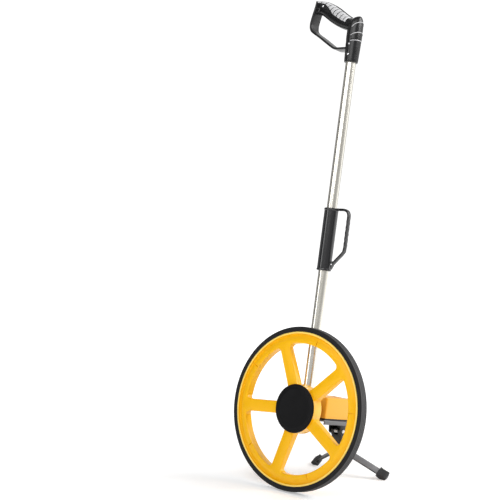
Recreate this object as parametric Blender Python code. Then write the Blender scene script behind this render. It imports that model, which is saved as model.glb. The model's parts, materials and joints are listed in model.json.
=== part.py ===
"""Folding distance measuring wheel with a mechanical counter, shown resting on its side stand.

Every piece is drawn in the frame of the upright pole, in millimetres:
    x  the way the wheel rolls,
    y  along the axle, from the outer face of the wheel towards the counter,
    z  up the pole.
The origin of that frame is the wheel centre on the outer face of the rim.  The last step leans
the whole assembly over until the tyre and the two rubber feet share one floor, and converts it
to metres.
"""

import math

import bmesh
import bpy
from mathutils import Matrix, Vector

MILLIMETRE = 0.001
GAP = 0.3

# Overall stance
LEAN_DEG = 11.5
FLOOR_DROP = 159.08

# Wheel: 318 mm over the tyre, so that one turn is one metre
WHEEL_SEGMENTS = 48
TYRE_RADIUS = 159.0
RIM_RADIUS = 149.0
RIM_INNER_RADIUS = 126.5
RIM_DEPTH = 17.8
SPOKE_COUNT = 5
SPOKE_FIRST_DEG = 40.0
SPOKE_WIDTH = 24.0
SPOKE_WALL = 2.4
HUB_RADIUS = 47.0
HUB_DEPTH = 21.0
AXLE_RADIUS = 4.0

# Pole
POLE_Y = 33.5
TUBE_RADIUS = 10.25
TUBE_INNER_RADIUS = 9.25
PLUG_RADIUS = 9.0
LOWER_TUBE_FOOT = 14.3
FOLD_X = -7.5
FOLD_Z = 284.0
BARREL_RADIUS = 2.6
UPPER_TUBE_FOOT = 304.5
UPPER_TUBE_TOP = 742.0

# Locking sleeve and its carrying loop
SLEEVE_FOOT = 273.0
SLEEVE_TOP = 397.0
SLEEVE_RADIUS = 14.0
SLEEVE_BORE = 11.8
LOOP_THICKNESS = 4.2
LOOP_HALF_WIDTH = 3.6

# Handle
HANDLE_FOOT = 690.0
GRIP_HALF_WIDTH = 14.5
SHELL_WALL = 2.6
SECTION_POWER = 2.6
GUARD_THICKNESS = 4.2
GUARD_HALF_WIDTH = 13.4

# Counter
CASE_FRONT = 60.0
CASE_BACK = 158.0
CASE_HALF_WIDTH = 30.0
CASE_FOOT = -13.0
CASE_TOP = 28.0
CASE_WALL = 2.2
SHAFT_X = -8.0
SHAFT_Z = 10.0
DRUM_COUNT = 5
DRUM_RADIUS = 13.5
DRUM_FIRST_Y = 75.0
DRUM_PITCH = 12.0
DRUM_WIDTH = 11.2
PINION_X = 10.2
PINION_Z = 10.0
GEAR_TEETH = 14
GEAR_ROOT = 5.4
GEAR_TIP = 7.0

# Stand
HINGE_Y = 143.0
HINGE_Z = -38.0
APEX_Y = 164.0
APEX_Z = -73.0
FOOT_X = 89.0
FOOT_Y = 202.0
FOOT_Z = -113.5
STRAP_HALF_WIDTH = 7.0
STRAP_HALF_THICKNESS = 2.0

for leftover in list(bpy.data.objects):
    bpy.data.objects.remove(leftover, do_unlink=True)

MATERIALS = {}


def define_material(name, colour, metallic, roughness, alpha=1.0):
    """One plain Principled material under the given name."""
    material = bpy.data.materials.new(name)
    material.use_nodes = True
    shader = material.node_tree.nodes["Principled BSDF"]
    shader.inputs["Base Color"].default_value = (colour[0], colour[1], colour[2], 1.0)
    shader.inputs["Metallic"].default_value = metallic
    shader.inputs["Roughness"].default_value = roughness
    shader.inputs["Alpha"].default_value = alpha
    material.diffuse_color = (colour[0], colour[1], colour[2], alpha)
    MATERIALS[name] = material


define_material("yellow_plastic", (0.95, 0.47, 0.01), 0.0, 0.4)
define_material("black_plastic", (0.012, 0.012, 0.014), 0.0, 0.45)
define_material("grey_rubber", (0.35, 0.35, 0.36), 0.0, 0.7)
define_material("tyre_rubber", (0.03, 0.03, 0.032), 0.0, 0.75)
define_material("foot_rubber", (0.06, 0.06, 0.065), 0.0, 0.7)
define_material("satin_tube", (0.72, 0.70, 0.67), 1.0, 0.35)
define_material("cast_aluminium", (0.5, 0.5, 0.52), 1.0, 0.45)
define_material("bright_steel", (0.62, 0.62, 0.64), 1.0, 0.3)
define_material("grey_steel", (0.28, 0.28, 0.3), 0.9, 0.45)
define_material("black_steel", (0.02, 0.02, 0.022), 0.4, 0.4)
define_material("bronze", (0.55, 0.33, 0.12), 1.0, 0.4)
define_material("white_plastic", (0.8, 0.8, 0.78), 0.0, 0.5)
define_material("gear_plastic", (0.75, 0.73, 0.66), 0.0, 0.5)
define_material("clear_plastic", (0.9, 0.93, 0.95), 0.0, 0.1, 0.35)


def place(axis, first, second, height):
    """Point from two cross-section coordinates and a height along the named axis."""
    if axis == "X":
        return (height, first, second)
    if axis == "Y":
        return (first, height, second)
    return (first, second, height)


def make_object(name, vertices, faces):
    """Closed mesh object with outward faces."""
    mesh = bpy.data.meshes.new(name)
    mesh.from_pydata([Vector(vertex) for vertex in vertices], [], faces)
    shape = bmesh.new()
    shape.from_mesh(mesh)
    bmesh.ops.recalc_face_normals(shape, faces=shape.faces)
    shape.to_mesh(mesh)
    shape.free()
    made = bpy.data.objects.new(name, mesh)
    bpy.context.scene.collection.objects.link(made)
    return made


def lathe(name, profile, axis, centre=(0.0, 0.0), segments=24):
    """Body of revolution from a closed loop of (radius, height) points."""
    vertices = []
    rings = []
    for radius, height in profile:
        if radius < 1e-6:
            rings.append([len(vertices)])
            vertices.append(place(axis, centre[0], centre[1], height))
            continue
        ring = []
        for step in range(segments):
            angle = 2.0 * math.pi * step / segments
            first = centre[0] + radius * math.cos(angle)
            second = centre[1] + radius * math.sin(angle)
            ring.append(len(vertices))
            vertices.append(place(axis, first, second, height))
        rings.append(ring)
    faces = []
    for index, ring in enumerate(rings):
        other = rings[(index + 1) % len(rings)]
        if len(ring) == 1 and len(other) == 1:
            continue
        for step in range(segments):
            following = (step + 1) % segments
            if len(ring) == 1:
                faces.append((ring[0], other[step], other[following]))
            elif len(other) == 1:
                faces.append((ring[following], ring[step], other[0]))
            else:
                faces.append((ring[following], ring[step], other[step], other[following]))
    return make_object(name, vertices, faces)


def cylinder(name, radius, low, high, axis, centre=(0.0, 0.0), segments=24):
    """Plain solid cylinder."""
    profile = [(0.0, low), (radius, low), (radius, high), (0.0, high)]
    return lathe(name, profile, axis, centre, segments)


def pipe(name, outer, inner, low, high, axis, centre=(0.0, 0.0), segments=24):
    """Plain hollow cylinder."""
    profile = [(inner, low), (outer, low), (outer, high), (inner, high)]
    return lathe(name, profile, axis, centre, segments)


def prism(name, outline, low, high, axis):
    """Solid with one outline carried straight along an axis."""
    count = len(outline)
    vertices = [place(axis, point[0], point[1], low) for point in outline]
    vertices += [place(axis, point[0], point[1], high) for point in outline]
    faces = [tuple(range(count)), tuple(range(2 * count - 1, count - 1, -1))]
    for index in range(count):
        following = (index + 1) % count
        faces.append((index, following, count + following, count + index))
    return make_object(name, vertices, faces)


def ring_prism(name, outer, inner, low, high, axis):
    """Prism with a hole; both outlines have the same number of points."""
    count = len(outer)
    vertices = []
    for height in (low, high):
        vertices += [place(axis, point[0], point[1], height) for point in outer]
        vertices += [place(axis, point[0], point[1], height) for point in inner]
    faces = []
    for index in range(count):
        following = (index + 1) % count
        outer_low = (index, following)
        inner_low = (count + index, count + following)
        outer_high = (2 * count + index, 2 * count + following)
        inner_high = (3 * count + index, 3 * count + following)
        faces.append((outer_low[0], outer_low[1], inner_low[1], inner_low[0]))
        faces.append((outer_high[0], outer_high[1], inner_high[1], inner_high[0]))
        faces.append((outer_low[0], outer_low[1], outer_high[1], outer_high[0]))
        faces.append((inner_low[0], inner_low[1], inner_high[1], inner_high[0]))
    return make_object(name, vertices, faces)


def block(name, low, high, bevel=0.0):
    """Box between two corners, optionally with eased edges."""
    outline = [(low[0], low[1]), (high[0], low[1]), (high[0], high[1]), (low[0], high[1])]
    made = prism(name, outline, low[2], high[2], "Z")
    if bevel > 0.0:
        shape = bmesh.new()
        shape.from_mesh(made.data)
        edges = list(shape.edges)
        bmesh.ops.bevel(shape, geom=edges, offset=bevel, segments=2, profile=0.5, affect="EDGES")
        shape.to_mesh(made.data)
        shape.free()
    return made


def combine(target, tool, operation):
    """Boolean of two bodies; the tool is used up."""
    modifier = target.modifiers.new("combine", "BOOLEAN")
    modifier.operation = operation
    modifier.solver = "EXACT"
    modifier.object = tool
    depsgraph = bpy.context.evaluated_depsgraph_get()
    result = bpy.data.meshes.new_from_object(target.evaluated_get(depsgraph))
    target.modifiers.remove(modifier)
    target.data = result
    bpy.data.objects.remove(tool, do_unlink=True)


def subtract(target, *tools):
    """Cut several bodies out of one."""
    for tool in tools:
        combine(target, tool, "DIFFERENCE")


def unite(target, *tools):
    """Merge several bodies into one."""
    for tool in tools:
        combine(target, tool, "UNION")


def finish(made, material_name):
    """Give a piece its only material."""
    made.data.materials.clear()
    made.data.materials.append(MATERIALS[material_name])
    for polygon in made.data.polygons:
        polygon.material_index = 0


def circle_points(centre, radius, count, start_deg=0.0, span_deg=360.0):
    """Evenly spaced points on a circle, or on an arc of it."""
    whole = abs(span_deg - 360.0) < 1e-6
    steps = count if whole else count - 1
    points = []
    for index in range(count):
        angle = math.radians(start_deg + span_deg * index / steps)
        points.append((centre[0] + radius * math.cos(angle), centre[1] + radius * math.sin(angle)))
    return points


def band_outline(path, thickness):
    """Outline of a strip of even thickness bent along a path, with mitred corners."""
    left = []
    right = []
    for index, point in enumerate(path):
        before = path[max(index - 1, 0)]
        after = path[min(index + 1, len(path) - 1)]
        into = Vector((point[0] - before[0], point[1] - before[1]))
        out = Vector((after[0] - point[0], after[1] - point[1]))
        if into.length < 1e-6:
            into = out.copy()
        if out.length < 1e-6:
            out = into.copy()
        into.normalize()
        out.normalize()
        normal = Vector((-into.y - out.y, into.x + out.x))
        normal.normalize()
        stretch = 1.0 / max(normal.dot(Vector((-into.y, into.x))), 0.5)
        offset = normal * (0.5 * thickness * stretch)
        left.append((point[0] + offset.x, point[1] + offset.y))
        right.append((point[0] - offset.x, point[1] - offset.y))
    return left + right[::-1]


# --------------------------------------------------------------------------- wheel


def build_tyre():
    """Solid rubber ring, its foot held between the two rim flanges."""
    profile = [
        (147.6, 3.6),
        (149.3, 3.0),
        (149.3, 0.8),
        (150.0, 0.1),
        (157.4, 0.1),
        (TYRE_RADIUS, 1.6),
        (TYRE_RADIUS, 16.4),
        (157.4, 17.9),
        (150.0, 17.9),
        (149.3, 17.2),
        (149.3, 15.0),
        (147.6, 14.4),
    ]
    tyre = lathe("tyre", profile, "Y", segments=WHEEL_SEGMENTS)
    finish(tyre, "tyre_rubber")


def spoke_solid(name, angle_deg, inner, outer, half_width, front, back_inner, back_outer):
    """Tapered bar standing radially on the wheel."""
    angle = math.radians(angle_deg)
    along = (math.cos(angle), math.sin(angle))
    across = (-along[1], along[0])
    vertices = []
    for radius, back in ((inner, back_inner), (outer, back_outer)):
        for side in (-half_width, half_width):
            for depth in (front, back):
                x = radius * along[0] + side * across[0]
                z = radius * along[1] + side * across[1]
                vertices.append((x, depth, z))
    faces = [(0, 1, 3, 2), (4, 6, 7, 5), (0, 4, 5, 1), (2, 3, 7, 6), (0, 2, 6, 4), (1, 5, 7, 3)]
    return make_object(name, vertices, faces)


def build_wheel():
    """One moulding: channel rim, five spokes hollow from behind, hub drum with centre boss."""
    rim_profile = [
        (RIM_INNER_RADIUS, 1.4),
        (127.6, 0.5),
        (138.2, 0.5),
        (139.4, 1.5),
        (144.0, 1.5),
        (145.2, 0.0),
        (148.6, 0.0),
        (RIM_RADIUS, 0.5),
        (RIM_RADIUS, 2.6),
        (147.3, 3.3),
        (147.3, 14.7),
        (RIM_RADIUS, 15.4),
        (RIM_RADIUS, RIM_DEPTH),
        (144.2, RIM_DEPTH),
        (143.4, 5.0),
        (130.2, 5.0),
        (129.4, RIM_DEPTH),
        (RIM_INNER_RADIUS, RIM_DEPTH),
    ]
    wheel = lathe("wheel", rim_profile, "Y", segments=WHEEL_SEGMENTS)
    hub_profile = [
        (AXLE_RADIUS + GAP, 7.0),
        (12.5, 7.0),
        (13.0, 9.5),
        (43.6, 9.5),
        (44.0, 0.3),
        (HUB_RADIUS, 0.3),
        (HUB_RADIUS, HUB_DEPTH),
        (44.0, HUB_DEPTH),
        (43.6, 12.5),
        (13.0, 12.5),
        (12.5, 19.5),
        (AXLE_RADIUS + GAP, 19.5),
    ]
    hub = lathe("hub", hub_profile, "Y", segments=40)
    spokes = []
    hollows = []
    pitch = 360.0 / SPOKE_COUNT
    for index in range(SPOKE_COUNT):
        angle = SPOKE_FIRST_DEG + pitch * index
        half = 0.5 * SPOKE_WIDTH
        spokes.append(spoke_solid("spoke", angle, 44.6, 128.6, half, 1.0, 20.6, 13.0))
        inner_half = half - SPOKE_WALL
        hollows.append(spoke_solid("hollow", angle, 49.0, 125.0, inner_half, 4.0, 30.0, 30.0))
    unite(wheel, *spokes)
    unite(wheel, hub)
    subtract(wheel, *hollows)
    finish(wheel, "yellow_plastic")


def build_hub_cap():
    """Black cover disc with a ring that clips inside the hub drum."""
    profile = [
        (0.0, -1.6),
        (22.0, -1.7),
        (38.0, -2.2),
        (44.0, -2.6),
        (47.3, -1.0),
        (47.3, 0.0),
        (43.4, 0.0),
        (43.4, 3.6),
        (41.8, 3.6),
        (41.6, -0.2),
        (0.0, -0.2),
    ]
    cap = lathe("hub_cap", profile, "Y", segments=40)
    finish(cap, "black_plastic")


def hexagon_ring(name, across_flats, bore, low, high, axis, centre=(0.0, 0.0)):
    """Hexagon nut blank."""
    outer = circle_points(centre, across_flats / math.sqrt(3.0), 6)
    dense = []
    for index in range(6):
        start = outer[index]
        end = outer[(index + 1) % 6]
        for step in range(4):
            part = step / 4.0
            x = start[0] + part * (end[0] - start[0])
            z = start[1] + part * (end[1] - start[1])
            dense.append((x, z))
    inner = circle_points(centre, bore, 24)
    return ring_prism(name, dense, inner, low, high, axis)


def build_axle_group():
    """Axle with shoulder, washer and nut, turning in two flanged bushes."""
    axle_profile = [
        (0.0, 0.2),
        (AXLE_RADIUS, 0.2),
        (AXLE_RADIUS, 19.8),
        (8.0, 19.8),
        (8.0, 21.2),
        (AXLE_RADIUS, 21.2),
        (AXLE_RADIUS, 73.5),
        (0.0, 73.5),
    ]
    axle = lathe("axle", axle_profile, "Y")
    finish(axle, "bright_steel")
    washer = pipe("axle_washer", 9.0, AXLE_RADIUS + GAP, 5.5, 6.7, "Y")
    finish(washer, "bright_steel")
    nut = hexagon_ring("axle_nut", 13.0, AXLE_RADIUS + GAP, 0.4, 5.2, "Y")
    finish(nut, "bright_steel")
    bush_bore = 4.08
    front_profile = [
        (bush_bore, 21.6),
        (9.0, 21.6),
        (9.0, 22.6),
        (6.0, 22.6),
        (6.0, 33.0),
        (bush_bore, 33.0),
    ]
    front = lathe("bush_front", front_profile, "Y")
    finish(front, "bronze")
    back_profile = [
        (bush_bore, 40.0),
        (6.0, 40.0),
        (6.0, 50.3),
        (9.0, 50.3),
        (9.0, 51.3),
        (bush_bore, 51.3),
    ]
    back = lathe("bush_back", back_profile, "Y")
    finish(back, "bronze")


# --------------------------------------------------------------------------- pole


def build_pole_foot():
    """Cast foot: bored for the axle, with a spigot that goes up inside the lower tube."""
    foot = block("pole_foot", (-17.0, 22.9, -24.6), (17.0, 50.0, 14.0), 1.2)
    spigot = cylinder("spigot", PLUG_RADIUS, 13.0, 52.0, "Z", (0.0, POLE_Y), 32)
    unite(foot, spigot)
    bore = cylinder("bore", 6.3, 20.0, 53.0, "Y")
    rivet_hole = cylinder("rivet_hole", 2.3, -12.0, 12.0, "X", (POLE_Y, 34.0), 20)
    holes = [bore, rivet_hole]
    for x in (-12.5, 12.5):
        holes.append(cylinder("screw_hole", 2.5, 37.0, 53.0, "Y", (x, -9.0), 20))
    subtract(foot, *holes)
    finish(foot, "cast_aluminium")
    rivet_profile = [
        (0.0, -12.2),
        (2.4, -12.0),
        (3.6, -10.7),
        (2.0, -10.7),
        (2.0, 10.7),
        (3.6, 10.7),
        (2.4, 12.0),
        (0.0, 12.2),
    ]
    rivet = lathe("foot_rivet", rivet_profile, "X", (POLE_Y, 34.0), 20)
    finish(rivet, "bright_steel")


def build_tubes():
    """Lower and upper pole tubes."""
    centre = (0.0, POLE_Y)
    lower_top = 275.5
    lower = pipe("lower_tube", TUBE_RADIUS, TUBE_INNER_RADIUS, LOWER_TUBE_FOOT, lower_top, "Z", centre, 32)
    subtract(lower, cylinder("rivet_hole", 2.3, -12.0, 12.0, "X", (POLE_Y, 34.0), 20))
    finish(lower, "satin_tube")
    upper = pipe(
        "upper_tube", TUBE_RADIUS, TUBE_INNER_RADIUS, UPPER_TUBE_FOOT, UPPER_TUBE_TOP, "Z", centre, 40
    )
    for z in (705.0, 726.0):
        subtract(upper, cylinder("screw_hole", 1.8, 20.0, POLE_Y, "Y", (1.0, z), 16))
    finish(upper, "satin_tube")


def knuckle_body(name, foot, top, plug_foot, plug_top):
    """Round hinge block with a plug for the tube and a flat on the folding side."""
    centre = (0.0, POLE_Y)
    body = cylinder(name, 10.2, foot, top, "Z", centre, 32)
    flat = block("flat", (-30.0, 0.0, foot - 1.0), (FOLD_X + 0.2, 70.0, top + 1.0))
    subtract(body, flat)
    plug = cylinder("plug", PLUG_RADIUS, plug_foot, plug_top, "Z", centre, 32)
    unite(body, plug)
    return body


def build_fold_joint():
    """Hinge inside the sleeve: two knuckles and a pin at the edge of the tube."""
    barrel_centre = (FOLD_X, FOLD_Z)
    relief = BARREL_RADIUS + GAP
    middle = 1.8
    edge = 5.2
    room = middle + GAP + 0.1
    lower = knuckle_body("lower_knuckle", 275.8, FOLD_Z - 0.15, 245.0, 276.5)
    subtract(
        lower, cylinder("relief", relief, POLE_Y - room, POLE_Y + room, "Y", barrel_centre, 24)
    )
    for low, high in ((-edge, -middle - GAP), (middle + GAP, edge)):
        barrel = cylinder("barrel", BARREL_RADIUS, POLE_Y + low, POLE_Y + high, "Y", barrel_centre, 24)
        unite(lower, barrel)
    subtract(lower, cylinder("hole", 1.6, POLE_Y - 12.0, POLE_Y + 12.0, "Y", barrel_centre, 20))
    finish(lower, "cast_aluminium")
    upper = knuckle_body("upper_knuckle", FOLD_Z + 0.15, 304.2, 303.5, 334.0)
    for low, high in ((-12.0, -middle - 0.1), (middle + 0.1, 12.0)):
        subtract(
            upper, cylinder("relief", relief, POLE_Y + low, POLE_Y + high, "Y", barrel_centre, 24)
        )
    unite(upper, cylinder("barrel", BARREL_RADIUS, POLE_Y - middle, POLE_Y + middle, "Y", barrel_centre, 24))
    subtract(upper, cylinder("hole", 1.6, POLE_Y - 12.0, POLE_Y + 12.0, "Y", barrel_centre, 20))
    finish(upper, "cast_aluminium")
    pin = cylinder("fold_pin", 1.5, POLE_Y - 5.1, POLE_Y + 5.1, "Y", barrel_centre, 20)
    finish(pin, "bright_steel")


LOOP_PATH = [
    (11.5, 395.0),
    (33.0, 395.0),
    (40.5, 392.4),
    (44.4, 386.0),
    (44.8, 376.0),
    (44.8, 318.0),
    (41.0, 309.0),
    (30.0, 297.5),
    (20.0, 287.0),
    (11.5, 278.5),
]


def build_sleeve():
    """Sliding sleeve that locks the folding joint, with the carrying loop moulded on."""
    centre = (0.0, POLE_Y)
    profile = [
        (SLEEVE_BORE, SLEEVE_FOOT),
        (14.3, SLEEVE_FOOT),
        (14.7, SLEEVE_FOOT + 0.6),
        (14.7, SLEEVE_FOOT + 3.0),
        (SLEEVE_RADIUS, SLEEVE_FOOT + 3.6),
        (SLEEVE_RADIUS, SLEEVE_TOP - 3.6),
        (14.7, SLEEVE_TOP - 3.0),
        (14.7, SLEEVE_TOP - 0.6),
        (14.3, SLEEVE_TOP),
        (10.6, SLEEVE_TOP),
        (10.6, SLEEVE_TOP - 14.0),
        (SLEEVE_BORE, SLEEVE_TOP - 16.0),
    ]
    sleeve = lathe("lock_sleeve", profile, "Z", centre, 32)
    outline = band_outline(LOOP_PATH, LOOP_THICKNESS)
    loop = prism("loop", outline, POLE_Y - LOOP_HALF_WIDTH, POLE_Y + LOOP_HALF_WIDTH, "Y")
    bore = cylinder("bore", 12.6, SLEEVE_FOOT - 5.0, SLEEVE_TOP + 5.0, "Z", centre, 32)
    subtract(loop, bore)
    unite(sleeve, loop)
    screw_centre = (19.4, 286.4)
    hole = cylinder("hole", 1.5, POLE_Y - 6.0, POLE_Y + 6.0, "Y", screw_centre, 16)
    subtract(sleeve, hole)
    finish(sleeve, "black_plastic")
    screw_profile = [
        (0.0, POLE_Y - 5.0),
        (2.0, POLE_Y - 4.7),
        (2.4, POLE_Y - 3.9),
        (1.2, POLE_Y - 3.9),
        (1.2, POLE_Y + 3.0),
        (0.0, POLE_Y + 3.0),
    ]
    screw = lathe("sleeve_screw", screw_profile, "Y", screw_centre, 16)
    finish(screw, "bright_steel")


# --------------------------------------------------------------------------- handle

# Centre line of the grip (x, z) with its half thickness there
GRIP_STATIONS = [
    (3.0, 762.0, 10.0),
    (-9.0, 766.6, 11.4),
    (-20.0, 770.8, 12.6),
    (-30.0, 775.4, 13.6),
    (-40.0, 780.9, 14.5),
    (-50.0, 786.8, 15.0),
    (-60.0, 792.8, 14.8),
    (-70.0, 798.8, 14.2),
    (-79.0, 803.4, 13.6),
    (-87.0, 806.1, 13.3),
    (-95.5, 807.7, 13.1),
]

GUARD_PATH = [
    (-97.6, 820.0),
    (-99.6, 808.0),
    (-103.0, 794.0),
    (-106.0, 780.0),
    (-106.8, 771.0),
    (-104.8, 762.0),
    (-98.0, 755.2),
    (-79.0, 744.0),
    (-59.0, 731.2),
    (-42.0, 720.8),
    (-34.0, 718.6),
    (-5.0, 718.2),
]


def grip_frames():
    """Centre, upward direction and half thickness at each station of the grip."""
    frames = []
    last = len(GRIP_STATIONS) - 1
    for index, station in enumerate(GRIP_STATIONS):
        before = GRIP_STATIONS[max(index - 1, 0)]
        after = GRIP_STATIONS[min(index + 1, last)]
        tangent = Vector((after[0] - before[0], after[1] - before[1]))
        tangent.normalize()
        upward = Vector((tangent.y, -tangent.x))
        if upward.y < 0.0:
            upward = -upward
        frames.append((Vector((station[0], station[1])), upward, station[2]))
    return frames


def section_point(frame, angle, outset):
    """Point on the rounded cross-section of the grip, the angle measured from its top."""
    centre, upward, half = frame
    power = 2.0 / SECTION_POWER
    across = math.copysign(abs(math.sin(angle)) ** power, math.sin(angle))
    lift = math.copysign(abs(math.cos(angle)) ** power, math.cos(angle))
    point = centre + upward * ((half + outset) * lift)
    return (point.x, POLE_Y + (GRIP_HALF_WIDTH + outset) * across, point.y)


def loft_grip(name, outset, first, last):
    """Closed body through the grip sections, larger or smaller by the outset."""
    frames = grip_frames()[first:last]
    count = 24
    vertices = []
    for frame in frames:
        for step in range(count):
            vertices.append(section_point(frame, 2.0 * math.pi * (step + 0.5) / count, outset))
    faces = []
    for row in range(len(frames) - 1):
        for step in range(count):
            following = (step + 1) % count
            low = row * count
            high = low + count
            faces.append((low + step, low + following, high + following, high + step))
    faces.append(tuple(range(count)))
    final = (len(frames) - 1) * count
    faces.append(tuple(final + step for step in range(count - 1, -1, -1)))
    return make_object(name, vertices, faces)


def build_handle():
    """Pistol grip in two half shells over the pole top, with a soft top pad and a hand guard."""
    centre = (0.0, POLE_Y)
    socket_profile = [
        (0.0, HANDLE_FOOT),
        (13.2, HANDLE_FOOT),
        (13.9, HANDLE_FOOT + 1.2),
        (14.4, 704.0),
        (15.1, 720.0),
        (15.3, 734.6),
        (15.8, 736.4),
        (15.8, 752.0),
        (15.2, 764.0),
        (13.4, 773.0),
        (10.0, 779.6),
        (5.0, 783.2),
        (0.0, 784.2),
    ]
    body = lathe("handle", socket_profile, "Z", centre, 32)
    grip = loft_grip("grip", 0.0, 0, len(GRIP_STATIONS))
    unite(body, grip)
    bore_profile = [(0.0, 680.0), (10.6, 680.0), (10.6, 742.4), (0.0, 742.4)]
    subtract(body, lathe("bore", bore_profile, "Z", centre, 32))
    hollow = loft_grip("hollow", -SHELL_WALL, 2, len(GRIP_STATIONS) - 1)
    subtract(body, hollow)
    screws = ((1.0, 705.0), (1.0, 726.0), (-79.0, 807.6), (-91.0, 804.0))
    names = ("handle_screw_lower", "handle_screw_upper", "grip_screw_inner", "grip_screw_outer")
    surface = (POLE_Y - 14.5, POLE_Y - 15.3, POLE_Y - 14.5, POLE_Y - 14.5)
    for index, spot in enumerate(screws):
        shank_end = POLE_Y + (9.0 if index > 1 else -8.0)
        hole_end = shank_end + 0.5
        subtract(body, cylinder("shank_hole", 1.8, POLE_Y - 20.0, hole_end, "Y", spot, 12))
        head_seat = surface[index] - GAP
        profile = [
            (0.0, head_seat - 1.4),
            (1.7, head_seat - 1.0),
            (2.6, head_seat),
            (1.4, head_seat),
            (1.4, shank_end),
            (0.0, shank_end),
        ]
        screw = lathe(names[index], profile, "Y", spot, 12)
        finish(screw, "bright_steel")
    far = body.copy()
    far.data = body.data.copy()
    far.name = "handle_shell_back"
    bpy.context.scene.collection.objects.link(far)
    body.name = "handle_shell_front"
    subtract(body, block("split", (-200.0, POLE_Y - 0.15, 600.0), (100.0, 100.0, 900.0)))
    subtract(far, block("split", (-200.0, -100.0, 600.0), (100.0, POLE_Y + 0.15, 900.0)))
    finish(body, "black_plastic")
    finish(far, "black_plastic")


def build_grip_pad():
    """Soft ribbed pad lying over the top of the grip."""
    frames = grip_frames()
    first, last = 2, 9
    rows = []
    per_span = 2
    for index in range(first, last):
        for step in range(per_span):
            part = step / per_span
            start = frames[index]
            end = frames[index + 1]
            upward = start[1].lerp(end[1], part)
            upward.normalize()
            half = start[2] + part * (end[2] - start[2])
            rows.append((start[0].lerp(end[0], part), upward, half))
    rows.append(frames[last])
    sweep = math.radians(60.0)
    count = 9
    vertices = []
    for number, frame in enumerate(rows):
        groove = number % 3 == 2
        crown = 1.0 if groove else 2.0
        ring = []
        for step in range(count):
            angle = -sweep + 2.0 * sweep * step / (count - 1)
            ring.append(section_point(frame, angle, crown))
        for step in range(count - 1, -1, -1):
            angle = -sweep + 2.0 * sweep * step / (count - 1)
            ring.append(section_point(frame, angle, GAP))
        vertices += ring
    per_row = 2 * count
    faces = []
    for row in range(len(rows) - 1):
        for step in range(per_row):
            following = (step + 1) % per_row
            low = row * per_row
            high = low + per_row
            faces.append((low + step, low + following, high + following, high + step))
    final = (len(rows) - 1) * per_row
    for step in range(count - 1):
        mirror = per_row - 1 - step
        faces.append((step, mirror, mirror - 1, step + 1))
        faces.append((final + step, final + step + 1, final + mirror - 1, final + mirror))
    pad = make_object("grip_pad", vertices, faces)
    finish(pad, "grey_rubber")


def build_guard():
    """Broad strap that closes the D between the end of the grip and the foot of the socket."""
    outline = band_outline(GUARD_PATH, GUARD_THICKNESS)
    guard = prism("hand_guard", outline, POLE_Y - GUARD_HALF_WIDTH, POLE_Y + GUARD_HALF_WIDTH, "Y")
    socket_room = cylinder("room", 15.55, 700.0, 740.0, "Z", (0.0, POLE_Y), 32)
    subtract(guard, socket_room)
    subtract(guard, loft_grip("room", GAP, 0, len(GRIP_STATIONS)))
    finish(guard, "black_plastic")


# --------------------------------------------------------------------------- counter


def build_bracket():
    """Folded steel bracket: upright flange on the pole foot, downward channel under the counter."""
    channel_outline = [
        (-30.0, -25.0),
        (-27.6, -25.0),
        (-27.6, -18.4),
        (27.6, -18.4),
        (27.6, -25.0),
        (30.0, -25.0),
        (30.0, -16.0),
        (-30.0, -16.0),
    ]
    bracket = prism("counter_bracket", channel_outline, CASE_FRONT, CASE_BACK, "Y")
    tongue = block("tongue", (-17.0, 50.3, -18.4), (17.0, CASE_FRONT + 1.0, -16.0))
    upright = block("upright", (-17.0, 50.3, -18.4), (17.0, 52.7, 14.0))
    unite(bracket, tongue, upright)
    holes = [cylinder("axle_hole", 9.6, 48.0, 55.0, "Y")]
    for x in (-12.5, 12.5):
        holes.append(cylinder("screw_hole", 2.5, 48.0, 55.0, "Y", (x, -9.0), 20))
    for x in (-23.5, 23.5):
        for y in (71.5, 146.5):
            holes.append(cylinder("case_hole", 1.8, -20.0, -14.0, "Z", (x, y), 16))
    for y in (131.0, 155.0):
        holes.append(cylinder("rivet_hole", 2.1, -20.0, -14.0, "Z", (0.0, y), 16))
    subtract(bracket, *holes)
    finish(bracket, "grey_steel")
    for name, x in (("bracket_screw_left", -12.5), ("bracket_screw_right", 12.5)):
        profile = [
            (0.0, 38.0),
            (2.2, 38.0),
            (2.2, 53.0),
            (4.2, 53.0),
            (4.2, 54.6),
            (3.0, 55.8),
            (0.0, 56.0),
        ]
        screw = lathe(name, profile, "Y", (x, -9.0), 20)
        finish(screw, "bright_steel")


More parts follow.
